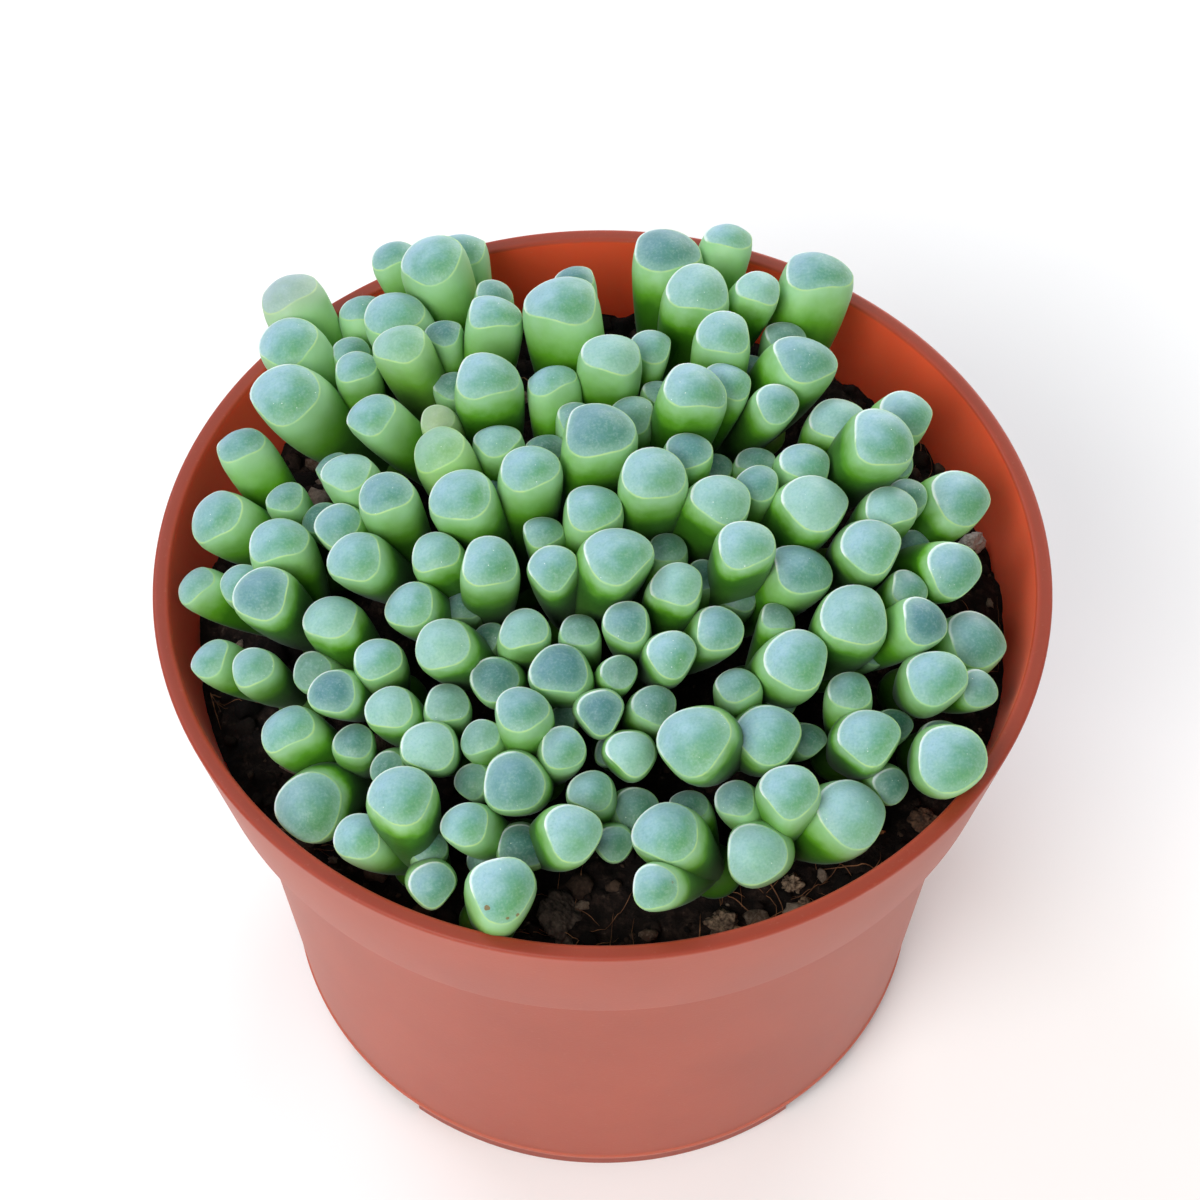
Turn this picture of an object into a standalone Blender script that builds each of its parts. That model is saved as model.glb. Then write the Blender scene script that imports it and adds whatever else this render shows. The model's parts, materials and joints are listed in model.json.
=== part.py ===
"""A pot of baby toes (Fenestraria): crowded heads of club-shaped leaves in a round plastic pot of soil.

Metres, +Z up. The origin is on the table under the middle of the pot, and the front faces -Y.
The sizes below are in millimetres, and MM turns them into metres.
"""

import math

import bmesh
import bpy
import numpy as np
from mathutils import Matrix, Vector

MM = 0.001
CLEARANCE = 0.3

# The pot: a wide collar over a narrower tapering wall, on a foot ring broken by notches.
RIM_RADIUS = 52.5
POT_HEIGHT = 74.2
LIP_WIDTH = 2.0
LIP_ROUND = 0.4
COLLAR_DEPTH = 18.0
COLLAR_RADIUS = 48.8
COLLAR_WALL = 1.8
LEDGE_WIDTH = 3.1
WALL = 1.3
BASE_RADIUS = 40.1
FOOT_RADIUS = 39.7
FOOT_HEIGHT = 2.6
FOOT_WALL = 1.6
FLOOR = 1.4
NOTCH_ANGLES = (45, 135, 225, 315)
NOTCH_WIDTH = 12.0
NOTCH_HEIGHT = 2.3
DRAIN_RADIUS = 3.5
DRAIN_FROM_AXIS = 30.0
DRAIN_CUT = 8.0
DRAIN_SEGMENTS = 16
POT_STEPS = 48

# The soil, and the ground plane that everything above it is seated on.
SOIL_BELOW_RIM = 10.0
SOIL_HEIGHT = POT_HEIGHT - SOIL_BELOW_RIM
GROUND = SOIL_HEIGHT + CLEARANCE

# The dome that the leaf tips make over the rim.
DOME_TOP = 15.0
DOME_FALL = 9.0
DOME_SPAN = 47.0
DOME_BACK = 10.0
TIP_RISE = 0.45
RISE_FROM = -30.0
RISE_SPAN = 40.0

# How a leaf grows: from its head's crown, bowing outwards and then turning up.
FAN_CENTRE = (-1.0, 4.0)
ROOT_SPREAD = 0.55
ROOT_SPREAD_GAIN = 0.2 / 45.0
FRONT_SPREAD = 0.12 / 45.0
BOW_OUT = 0.58
BOW_UP = 0.45
FOOT_SWELLING = 0.42
SWELLING_POWER = 1.2
WIDEST_SHARE = 0.88
WIDEST_BELOW_TIP = 0.75
CREST_BELOW_TIP = 0.4
CREST_RADIUS = 0.9
LEAF_SEGMENTS = 6
LEAF_FOOT = 0.1
LEAF_MIDDLE = 0.5
CROWN_RADIUS = 3.3
CROWN_HEIGHT = 2.6
CROWN_LIFT = 1.2

# How crowded leaves give way to each other.
GIVE_ANGLE = math.radians(54)
GIVE_SIDEWAYS = 0.12
SHORT_LEAF_BACK = 0.72
PRESS_ROUNDS = 200
PRESS_REACH = 17.0
PRESS_LEVELS = np.array([0.2, 0.35, 0.5, 0.65, 0.8, 0.93])
FREE_LEVEL = 0.75
LEAF_GAP = 0.3
SAME_HEAD_GAP = -0.3
HOLD = 0.02
LOWEST_TIP = -5.5
CROWN_SPACING = 7.6
PRESS_STEP = 0.35
LARGEST_MOVE = 0.5
CROWN_GIVE = 0.3
LARGEST_CROWN_MOVE = 0.3
SPACING_STEP = 0.25
SLIM = 0.9

# Each head's leaves: right of the axis, behind it, width, and how far the leaf falls short of the dome.
HEADS = {
    "back_left_1": (
        (-38.5, 36.0, 8.0, -5),
        (-38.0, 27.5, 8.0, -1),
        (-38.5, 18.0, 9.0, 0),
        (-30.0, 24.5, 5.0, 2),
        (-28.5, 21.5, 5.5, 1),
        (-29.0, 32.0, 6.0, 2),
    ),
    "back_left_2": (
        (-26.0, 41.0, 6.0, 0),
        (-21.0, 38.0, 8.5, -2),
        (-17.5, 41.0, 7.5, 1),
    ),
    "back_left_3": (
        (-25.0, 30.0, 8.0, 0),
        (-24.0, 23.5, 7.0, 0),
        (-18.5, 25.5, 5.0, 2),
        (-13.0, 28.0, 7.0, 0),
        (-13.0, 32.0, 5.0, 2),
    ),
    "back_left_4": (
        (-14.0, 17.0, 8.0, 0),
        (-18.0, 17.0, 5.0, 3),
        (-19.5, 11.5, 4.5, 2),
        (-27.5, 13.0, 6.5, 0),
    ),
    "back_1": (
        (-5.5, 29.5, 9.5, 0),
        (-3.5, 34.0, 5.5, 1),
        (1.5, 20.0, 7.5, 0),
        (6.0, 22.0, 5.5, 2),
    ),
    "back_2": (
        (-6.0, 16.5, 6.5, 0),
        (-4.0, 10.0, 5.0, 3),
        (0.0, 8.5, 9.0, 0),
        (-6.5, 7.5, 5.0, 4),
    ),
    "back_3": (
        (10.5, 15.0, 8.0, 0),
        (15.0, 17.0, 6.5, 1.5),
        (6.5, 15.0, 4.5, 4),
        (4.5, 11.0, 6.0, 2),
    ),
    "back_right_1": (
        (8.0, 39.5, 9.0, 0),
        (11.5, 32.0, 8.0, 0),
        (15.5, 43.0, 6.5, 0),
        (19.5, 33.0, 6.0, 0),
    ),
    "back_right_2": (
        (15.0, 23.5, 7.0, 0),
        (18.0, 20.0, 5.0, 4),
        (24.5, 20.5, 8.5, 0),
        (20.0, 14.0, 5.5, 2),
    ),
    "back_right_3": (
        (28.0, 13.0, 7.5, 0),
        (36.5, 15.0, 7.0, 0),
        (32.0, 8.5, 8.5, 0),
        (34.5, 8.5, 5.0, 3),
    ),
    "back_right_4": (
        (26.5, 38.0, 9.0, 0),
        (21.5, 25.5, 5.5, 4),
    ),
    "left_1": (
        (-42.5, 13.0, 6.5, 0),
        (-45.5, 2.5, 7.5, 0),
        (-36.5, 3.0, 5.0, 1),
    ),
    "left_2": (
        (-38.5, -3.0, 7.5, 0),
        (-41.5, -6.0, 5.5, 1),
        (-47.0, -6.0, 5.5, 0),
        (-39.0, -8.5, 7.5, 0),
    ),
    "left_3": (
        (-33.0, 0.5, 5.0, 2),
        (-30.0, -2.0, 6.0, 0),
        (-30.5, 5.0, 6.5, 0),
        (-32.0, 7.0, 4.5, 2),
        (-25.5, 1.5, 7.0, 0),
        (-29.0, -6.5, 7.0, 0),
    ),
    "left_4": (
        (-31.0, -12.5, 7.0, 0),
        (-25.5, -19.0, 6.0, 0),
        (-30.5, -22.0, 6.0, 0),
        (-33.0, -19.0, 5.0, 2),
    ),
    "left_5": (
        (-45.0, -15.5, 5.5, 0),
        (-40.0, -17.5, 5.5, 0),
    ),
    "left_6": (
        (-36.0, -25.0, 7.0, 0),
        (-33.0, -35.0, 8.5, 0),
        (-26.5, -28.0, 5.0, 1),
    ),
    "middle_1": (
        (-18.5, 6.5, 7.0, 0),
        (-12.0, 7.5, 6.0, 1.5),
        (-16.5, 0.0, 8.0, 0),
        (-13.5, 2.5, 5.0, 5),
        (-8.5, 3.5, 7.5, 0),
    ),
    "middle_2": (
        (-1.0, -2.0, 7.0, 0),
        (-6.5, -4.5, 5.0, 1.5),
        (-5.0, -9.5, 6.0, 0),
        (2.0, -8.5, 8.5, 0),
        (-0.5, -13.0, 4.5, 4),
    ),
    "middle_3": (
        (6.5, 2.5, 8.0, 0),
        (10.0, 6.5, 6.0, 1.5),
        (13.5, 0.0, 7.5, 0),
        (14.5, 4.5, 4.5, 5),
    ),
    "middle_4": (
        (24.0, 5.5, 6.5, 1),
        (24.0, 0.0, 8.5, 0),
        (18.5, 5.0, 5.0, 2),
        (18.0, 1.5, 5.5, 1),
    ),
    "middle_5": (
        (16.5, -6.0, 7.0, 0),
        (23.5, -8.0, 8.0, 0),
        (11.5, -10.5, 4.5, 4),
        (15.5, -12.0, 4.5, 4),
    ),
    "middle_6": (
        (8.0, -11.0, 6.5, 0),
        (7.5, -6.5, 5.0, 4),
        (13.0, -16.5, 6.0, 0),
        (2.5, -16.0, 5.5, 0),
        (8.0, -20.0, 6.0, 0),
    ),
    "middle_7": (
        (-19.0, -6.5, 6.0, 0),
        (-13.0, -8.5, 7.0, 0),
        (-21.5, -13.0, 6.5, 0),
        (-16.0, -13.5, 4.5, 4),
    ),
    "right_1": (
        (42.0, 4.5, 8.0, 0),
        (33.0, 1.0, 6.5, 1),
        (35.5, 4.0, 5.0, 2),
        (32.5, -4.5, 7.5, 0),
        (37.0, -4.0, 5.0, 2.5),
        (40.0, -6.0, 7.0, 0),
    ),
    "right_2": (
        (28.5, -12.5, 8.5, 0),
        (34.5, -9.0, 5.0, 3),
        (36.5, -14.0, 6.5, 0),
        (31.0, -17.5, 4.0, 6),
    ),
    "right_3": (
        (43.5, -14.0, 8.0, 0),
        (37.0, -18.5, 7.5, 0),
        (43.0, -19.0, 5.0, 3),
    ),
    "right_4": (
        (21.5, -19.5, 8.0, 0),
        (20.0, -14.5, 4.5, 3),
        (20.5, -24.5, 4.0, 5),
    ),
    "right_5": (
        (29.5, -27.0, 7.5, 0),
        (34.0, -24.5, 4.5, 4),
        (28.0, -22.0, 5.5, 1),
        (32.5, -32.5, 4.5, 2),
    ),
    "right_6": (
        (38.5, -28.0, 8.5, -2.5),
        (38.0, -24.5, 5.0, 2),
    ),
    "front_1": (
        (-24.5, -25.0, 6.0, 0),
        (-25.0, -31.0, 4.5, 3),
        (-18.0, -29.5, 6.5, 0),
        (-17.5, -25.0, 5.5, 1),
    ),
    "front_2": (
        (-18.5, -18.0, 7.0, 0),
        (-13.0, -17.5, 4.0, 5),
        (-9.0, -17.5, 6.0, 0),
        (-12.0, -22.5, 6.0, 1),
    ),
    "front_3": (
        (-5.0, -22.0, 7.0, 0),
        (-2.5, -17.0, 5.0, 2),
        (2.0, -22.0, 4.5, 2),
        (0.0, -27.0, 5.5, 0),
        (-4.5, -27.5, 3.5, 6),
    ),
    "front_4": (
        (-9.5, -26.5, 6.5, 0),
        (-13.5, -28.5, 5.0, 1),
        (-10.0, -34.0, 7.5, 0),
        (-5.0, -30.5, 5.5, 0),
        (-15.0, -33.0, 4.5, 3),
    ),
    "front_5": (
        (-22.5, -33.5, 8.0, 0),
        (-26.5, -37.0, 6.0, 0),
        (-19.0, -40.0, 4.5, 2),
        (-18.5, -44.0, 5.5, 0),
    ),
    "front_6": (
        (-8.5, -41.0, 6.0, 0),
        (-15.5, -37.5, 6.0, 0),
        (-13.0, -42.0, 4.5, 3),
        (-4.0, -39.0, 7.0, 0),
    ),
    "front_7": (
        (5.5, -39.0, 8.0, 0),
        (5.5, -43.5, 5.5, 0),
        (9.0, -35.5, 5.0, 2),
    ),
    "front_8": (
        (4.0, -31.0, 6.0, 0),
        (6.5, -25.5, 5.5, 1),
        (0.5, -31.0, 3.5, 6),
    ),
    "front_9": (
        (9.5, -29.5, 9.0, 0),
        (17.0, -28.5, 8.0, 0),
        (16.0, -23.0, 5.5, 1),
        (24.0, -28.5, 4.5, 4),
    ),
    "front_10": (
        (14.5, -35.0, 5.0, 1),
        (16.5, -41.0, 7.5, 0),
        (20.5, -33.0, 7.0, 0),
        (28.5, -35.0, 9.0, 0),
    ),
    "front_11": ((-10.5, -43.5, 7.8, -2.5),),
    "front_12": (
        (4.0, -36.5, 5.5, 1),
        (1.5, -40.5, 4.5, 2),
        (-1.5, -34.0, 5.5, 1),
    ),
}

# Crowns that stand where their leaves hide them: right of the axis and behind it.
HIDDEN_CROWNS = {
    "front_5": (-18.5, -32.0),
    "front_7": (7.0, -30.0),
    "front_10": (20.0, -29.0),
    "front_11": (-10.5, -35.0),
    "left_6": (-25.5, -23.5),
    "right_6": (36.0, -20.0),
}

# Loose pieces on the soil: right of the axis, behind it, length, width, height, turn in degrees.
STONES = {
    "pumice_stone": (44.5, 11.0, 3.6, 2.8, 2.6, 20),
    "soil_lump": (-4.5, -41.0, 6.5, 4.0, 2.6, 5),
    "pale_grit_1": (13.5, -42.5, 3.4, 2.4, 2.0, 15),
    "pale_grit_2": (21.5, -36.5, 2.8, 1.8, 1.7, -35),
    "pale_grit_3": (23.0, -39.5, 2.6, 1.8, 1.6, 30),
    "bark_crumb": (36.5, -28.5, 3.2, 2.8, 2.2, 40),
}
STONE_LUMPS = 0.12
STONE_WAVES = (5, 4, 3)
STONE_RISE = 0.25

COLOURS = {
    "pot": (0.56, 0.16, 0.09),
    "soil": (0.035, 0.022, 0.015),
    "leaf": (0.20, 0.42, 0.16),
    "stone": (0.42, 0.40, 0.36),
}
ROUGHNESS = {"pot": 0.45, "soil": 0.95, "leaf": 0.55, "stone": 0.9}


def clear_scene():
    for obj in list(bpy.data.objects):
        bpy.data.objects.remove(obj)


def make_collection(name, parent):
    collection = bpy.data.collections.new(name)
    parent.children.link(collection)
    return collection


def make_material(name, kind):
    material = bpy.data.materials.new(name)
    material.use_nodes = True
    shader = material.node_tree.nodes["Principled BSDF"]
    shader.inputs["Base Color"].default_value = (*COLOURS[kind], 1)
    shader.inputs["Roughness"].default_value = ROUGHNESS[kind]
    shader.inputs["Metallic"].default_value = 0
    return material


def make_object(name, mesh, collection, kind):
    obj = bpy.data.objects.new(name, mesh)
    collection.objects.link(obj)
    mesh.materials.append(make_material(name, kind))
    return obj


def make_helper(name, mesh, collection):
    obj = bpy.data.objects.new(name, mesh)
    collection.objects.link(obj)
    obj.hide_render = True
    obj.display_type = "WIRE"
    return obj


def mesh_from(bm, name, smooth=True):
    mesh = bpy.data.meshes.new(name)
    bm.to_mesh(mesh)
    bm.free()
    if smooth:
        mesh.shade_smooth()
    return mesh


def add_boolean(obj, operation, other):
    """Joins or cuts obj with another object, or with a collection of them."""
    modifier = obj.modifiers.new(operation.title(), "BOOLEAN")
    modifier.operation = operation
    modifier.solver = "EXACT"
    if isinstance(other, bpy.types.Collection):
        modifier.operand_type = "COLLECTION"
        modifier.collection = other
    else:
        modifier.object = other


# ---- pot and soil ----


def turned_mesh(name, profile):
    """The open outline of a turned shape, as (radius, height) points from axis to axis."""
    mesh = bpy.data.meshes.new(name)
    points = [(radius * MM, 0, height * MM) for radius, height in profile]
    edges = [(i, i + 1) for i in range(len(points) - 1)]
    mesh.from_pydata(points, edges, [])
    return mesh


def add_screw(obj):
    screw = obj.modifiers.new("Turn", "SCREW")
    screw.steps = POT_STEPS
    screw.render_steps = POT_STEPS
    screw.use_merge_vertices = True
    screw.merge_threshold = 0.00001
    screw.use_smooth_shade = True


def collar_foot():
    return POT_HEIGHT - COLLAR_DEPTH


def wall_radius(height):
    """Outside radius of the tapering wall under the collar."""
    share = (height - FOOT_HEIGHT) / (collar_foot() - FOOT_HEIGHT)
    return BASE_RADIUS + share * (COLLAR_RADIUS - LEDGE_WIDTH - BASE_RADIUS)


def inner_points(gap=0):
    """The inside of the pot from the floor's edge up to the lip, or a line that lies gap inside it."""
    floor = FOOT_HEIGHT + FLOOR + gap
    ledge = collar_foot() + WALL + gap
    step = COLLAR_RADIUS - COLLAR_WALL - gap
    top = RIM_RADIUS - LIP_WIDTH - gap
    return [
        (wall_radius(floor) - WALL - gap, floor),
        (wall_radius(ledge) - WALL - gap, ledge),
        (step, ledge + LIP_ROUND),
        (top, POT_HEIGHT - LIP_ROUND),
    ]


def pot_profile():
    foot_inside = FOOT_RADIUS - FOOT_WALL
    return [
        (0, FOOT_HEIGHT + FLOOR),
        *inner_points(),
        (RIM_RADIUS - LIP_WIDTH + LIP_ROUND, POT_HEIGHT),
        (RIM_RADIUS - LIP_ROUND, POT_HEIGHT),
        (RIM_RADIUS, POT_HEIGHT - LIP_ROUND),
        (COLLAR_RADIUS, collar_foot() + LIP_ROUND),
        (COLLAR_RADIUS - LIP_ROUND, collar_foot()),
        (wall_radius(collar_foot()), collar_foot() - LIP_ROUND),
        (BASE_RADIUS, FOOT_HEIGHT),
        (FOOT_RADIUS, FOOT_HEIGHT - LIP_ROUND),
        (FOOT_RADIUS - LIP_ROUND, 0),
        (foot_inside, 0),
        (foot_inside - LIP_ROUND, FOOT_HEIGHT),
        (0, FOOT_HEIGHT),
    ]


def soil_profile():
    inside = inner_points(CLEARANCE)
    (step, ledge), (top, lip) = inside[2], inside[3]
    share = (SOIL_HEIGHT - ledge) / (lip - ledge)
    floor = inside[0][1]
    edge = step + share * (top - step)
    return [(0, SOIL_HEIGHT), (edge, SOIL_HEIGHT), *reversed(inside[:3]), (0, floor)]


def make_notch(angle, cutters):
    bm = bmesh.new()
    bmesh.ops.create_cube(bm, size=1)
    length = 4 * FOOT_WALL
    bmesh.ops.scale(bm, vec=Vector((length, NOTCH_WIDTH, 2 * NOTCH_HEIGHT)) * MM, verts=bm.verts)
    bmesh.ops.translate(bm, vec=Vector((FOOT_RADIUS, 0, 0)) * MM, verts=bm.verts)
    bmesh.ops.rotate(bm, matrix=Matrix.Rotation(math.radians(angle), 3, "Z"), verts=bm.verts)
    name = f"notch_{angle}"
    return make_helper(name, mesh_from(bm, name, smooth=False), cutters)


def make_drain(angle, cutters):
    bm = bmesh.new()
    radius = DRAIN_RADIUS * MM
    bmesh.ops.create_cone(
        bm, cap_ends=True, segments=DRAIN_SEGMENTS, radius1=radius, radius2=radius, depth=DRAIN_CUT * MM
    )
    turn = math.radians(angle)
    place = Vector((math.cos(turn), math.sin(turn), 0)) * DRAIN_FROM_AXIS
    place.z = FOOT_HEIGHT
    bmesh.ops.translate(bm, vec=place * MM, verts=bm.verts)
    name = f"drain_{angle}"
    return make_helper(name, mesh_from(bm, name, smooth=False), cutters)


def make_pot(parts, cutters):
    pot = make_object("pot", turned_mesh("pot", pot_profile()), parts, "pot")
    add_screw(pot)
    for angle in NOTCH_ANGLES:
        add_boolean(pot, "DIFFERENCE", make_notch(angle, cutters))
        add_boolean(pot, "DIFFERENCE", make_drain(angle, cutters))


def make_soil(parts):
    soil = make_object("soil", turned_mesh("soil", soil_profile()), parts, "soil")
    add_screw(soil)


# ---- where the leaves stand ----


def dome_height(right, back):
    """Height of the dome of leaf tips over the rim."""
    return DOME_TOP - DOME_FALL * (right**2 + (back - DOME_BACK) ** 2) / DOME_SPAN**2


def leaf_tip(right, back, width, short):
    """The top of a leaf, from the rim's middle. A short leaf stands further back, a back leaf taller."""
    rise = TIP_RISE * width / 2 * min(max((back - RISE_FROM) / RISE_SPAN, 0), 1)
    return (right, back + SHORT_LEAF_BACK * short, dome_height(right, back) + rise - short)


def head_root(name, tips):
    """A head's crown on the ground, drawn in towards the middle of the plant, and less so at the front."""
    if name in HIDDEN_CROWNS:
        return (*HIDDEN_CROWNS[name], -SOIL_BELOW_RIM)
    reach = np.mean(tips, axis=0)[:2] - FAN_CENTRE
    share = ROOT_SPREAD + ROOT_SPREAD_GAIN * np.hypot(*reach) + FRONT_SPREAD * max(-reach[1], 0)
    return (*(np.array(FAN_CENTRE) + reach * share), -SOIL_BELOW_RIM)


def along_leaf(root, tip, t):
    """The leaf's centre line: it bows outwards from the crown and turns up towards its tip."""
    bow = root + (tip - root) * (BOW_OUT, BOW_OUT, BOW_UP)
    return (1 - t) ** 2 * root + 2 * t * (1 - t) * bow + t**2 * tip


def swelling(t, widest=WIDEST_SHARE):
    """The leaf's radius along it, as a share of its full radius: a narrow foot that swells to the top."""
    rise = np.sin(np.clip(t / widest, 0, 1) * math.pi / 2) ** SWELLING_POWER
    return FOOT_SWELLING + (1 - FOOT_SWELLING) * rise


def give_matrix():
    """How far a pressed leaf moves each way: freely up and forward or down and back, and little otherwise."""
    easy = np.array((0, math.cos(GIVE_ANGLE), -math.sin(GIVE_ANGLE)))
    return GIVE_SIDEWAYS * np.eye(3) + (1 - GIVE_SIDEWAYS) * np.outer(easy, easy)


def neighbours(tips):
    count = len(tips)
    close = [
        (i, j)
        for i in range(count)
        for j in range(i + 1, count)
        if math.dist(tips[i][:2], tips[j][:2]) < PRESS_REACH
    ]
    return np.array(close).T


def press_apart(tips, roots, head_of, radii):
    """Moves crowded tips and crowns until leaves of different heads stand clear of each other."""
    grown = tips.copy()
    first, second = neighbours(tips)
    pairs = np.arange(len(first))
    same_head = head_of[first] == head_of[second]
    levels = len(PRESS_LEVELS)
    radius = radii * swelling(PRESS_LEVELS)[:, None]
    wanted = radius[:, None, first] + radius[None, :, second] + np.where(same_head, SAME_HEAD_GAP, LEAF_GAP)
    low = (PRESS_LEVELS[:, None] < FREE_LEVEL) | (PRESS_LEVELS[None, :] < FREE_LEVEL)
    ignored = low[:, :, None] & same_head
    give = give_matrix()
    for _ in range(PRESS_ROUNDS):
        line = np.stack([along_leaf(roots[head_of], tips, t) for t in PRESS_LEVELS])
        apart = line[:, None, first] - line[None, :, second]
        overlap = wanted - np.linalg.norm(apart, axis=3)
        overlap = np.where(ignored, 0, overlap).reshape(levels**2, -1)
        deepest = overlap.argmax(axis=0)
        depth = np.maximum(overlap[deepest, pairs], 0)
        first_t, second_t = PRESS_LEVELS[deepest // levels], PRESS_LEVELS[deepest % levels]
        push = apart.reshape(levels**2, -1, 3)[deepest, pairs]
        push /= np.linalg.norm(push, axis=1)[:, None]
        eased = push @ give
        step = depth / ((push * eased).sum(axis=1) * (first_t + second_t)) * PRESS_STEP
        move = np.zeros_like(tips)
        np.add.at(move, first, eased * (step * first_t)[:, None])
        np.add.at(move, second, -eased * (step * second_t)[:, None])
        tips = tips + np.clip(move, -LARGEST_MOVE, LARGEST_MOVE)
        tips += (grown - tips) * HOLD
        tips[:, 2] = np.maximum(tips[:, 2], LOWEST_TIP)
        level_push = push * (1, 1, 0) * (depth * ~same_head * CROWN_GIVE)[:, None]
        shift = np.zeros_like(roots)
        np.add.at(shift, head_of[first], level_push * (1 - first_t)[:, None])
        np.add.at(shift, head_of[second], -level_push * (1 - second_t)[:, None])
        roots = roots + np.clip(shift, -LARGEST_CROWN_MOVE, LARGEST_CROWN_MOVE)
        roots = space_crowns(roots)
    return tips, roots


def space_crowns(roots):
    """Moves crowns that stand closer than CROWN_SPACING half the missing way apart."""
    gap = roots[:, None] - roots[None]
    distance = np.linalg.norm(gap, axis=2) + np.eye(len(roots)) * CROWN_SPACING
    missing = np.maximum(CROWN_SPACING - distance, 0) / distance
    return roots + (gap * missing[:, :, None]).sum(axis=1) * SPACING_STEP


def plan_leaves():
    """Every head's crown and its leaves' tips and radii, in millimetres from the pot's base."""
    names = list(HEADS)
    head_of = np.array([index for index, name in enumerate(names) for _ in HEADS[name]])
    rows = [leaf for name in names for leaf in HEADS[name]]
    tips = np.array([leaf_tip(*leaf) for leaf in rows])
    radii = np.array([width / 2 for _, _, width, _ in rows])
    roots = np.array([head_root(name, tips[head_of == index]) for index, name in enumerate(names)])
    tips, roots = press_apart(tips, roots, head_of, radii)
    tips[:, 2] += POT_HEIGHT
    roots[:, 2] += POT_HEIGHT + CROWN_LIFT
    return [
        (name, roots[index], list(zip(tips[head_of == index], radii[head_of == index])))
        for index, name in enumerate(names)
    ]


# ---- the heads ----


def leaf_levels(radius, length):
    """(place along the leaf, share of its radius) for each ring from the crown up to the apex."""
    widest = 1 - WIDEST_BELOW_TIP * radius / length
    crest = 1 - CREST_BELOW_TIP * radius / length
    return [
        (0, 0),
        (LEAF_FOOT, swelling(LEAF_FOOT, widest)),
        (LEAF_MIDDLE, swelling(LEAF_MIDDLE, widest)),
        (widest, 1),
        (crest, CREST_RADIUS),
        (1, 0),
    ]


def leaf_mesh(name, root, tip, radius):
    """A ball whose rings are laid along the leaf's centre line."""
    rings = leaf_levels(radius, np.linalg.norm(tip - root))
    bands = len(rings) - 1
    bm = bmesh.new()
    bmesh.ops.create_uvsphere(bm, u_segments=LEAF_SEGMENTS, v_segments=bands, radius=1)
    for vert in bm.verts:
        t, share = rings[round((1 - math.acos(max(-1, min(1, vert.co.z))) / math.pi) * bands)]
        angle = math.atan2(vert.co.y, vert.co.x)
        centre = Vector(along_leaf(root, tip, t))
        ahead = Vector(along_leaf(root, tip, t + 0.01) - along_leaf(root, tip, t - 0.01))
        turn = Vector((0, 0, 1)).rotation_difference(ahead)
        out = Vector((math.cos(angle), math.sin(angle), 0)) * share * radius * SLIM
        vert.co = (centre + turn @ out) * MM
    return mesh_from(bm, name)


def make_ground(cutters):
    """A block whose top is the ground: it trims the crowns and stones flat."""
    bm = bmesh.new()
    bmesh.ops.create_cube(bm, size=1)
    width = 3 * RIM_RADIUS
    bmesh.ops.scale(bm, vec=Vector((width, width, GROUND)) * MM, verts=bm.verts)
    bmesh.ops.translate(bm, vec=Vector((0, 0, GROUND / 2)) * MM, verts=bm.verts)
    return make_helper("ground", mesh_from(bm, "ground", smooth=False), cutters)


def make_head(name, root, leaves, ground, parts, cutters):
    """A crown with its leaves grown into it, flat where it stands on the soil."""
    bm = bmesh.new()
    bmesh.ops.create_icosphere(bm, subdivisions=1, radius=1)
    scale = Vector((CROWN_RADIUS, CROWN_RADIUS, CROWN_HEIGHT)) * MM
    bmesh.ops.scale(bm, vec=scale, verts=bm.verts)
    bmesh.ops.translate(bm, vec=Vector(root) * MM, verts=bm.verts)
    head = make_object(f"head_{name}", mesh_from(bm, name), parts, "leaf")
    grown = make_collection(f"leaves_{name}", cutters)
    for number, (tip, radius) in enumerate(leaves, 1):
        label = f"leaf_{name}_{number}"
        make_helper(label, leaf_mesh(label, root, tip, radius), grown)
    add_boolean(head, "UNION", grown)
    add_boolean(head, "DIFFERENCE", ground)


# ---- stones ----


def make_stone(name, right, back, length, width, height, turn, ground, parts):
    """A lumpy pebble with its flattened underside on the soil."""
    bm = bmesh.new()
    bmesh.ops.create_icosphere(bm, subdivisions=2, radius=1)
    for vert in bm.verts:
        across, along, up = (wave * place for wave, place in zip(STONE_WAVES, vert.co))
        lump = math.sin(across + right) * math.cos(along + back) * math.cos(up)
        vert.co *= 1 + STONE_LUMPS * lump
    bmesh.ops.scale(bm, vec=Vector((length, width, height)) * 0.5 * MM, verts=bm.verts)
    bmesh.ops.rotate(bm, matrix=Matrix.Rotation(math.radians(turn), 3, "Z"), verts=bm.verts)
    place = Vector((right, back, GROUND + STONE_RISE * height))
    bmesh.ops.translate(bm, vec=place * MM, verts=bm.verts)
    stone = make_object(name, mesh_from(bm, name), parts, "stone")
    add_boolean(stone, "DIFFERENCE", ground)


def main():
    clear_scene()
    scene = bpy.context.scene.collection
    parts = make_collection("Potted_baby_toes", scene)
    cutters = make_collection("Cutters_and_leaf_shapes", scene)
    make_pot(parts, cutters)
    make_soil(parts)
    ground = make_ground(cutters)
    for name, root, leaves in plan_leaves():
        make_head(name, root, leaves, ground, parts, cutters)
    for name, sizes in STONES.items():
        make_stone(name, *sizes, ground, parts)


main()
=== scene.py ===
"""The looks of the potted baby toes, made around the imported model.

The frame is in metres. Sizes below are in millimetres, and MM turns them into metres.
The front of the pot faces -Y, and the light comes from above on the left.
"""

import json
import math
import random

import bmesh
import bpy
import numpy as np
from mathutils import Matrix, Vector, noise

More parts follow.
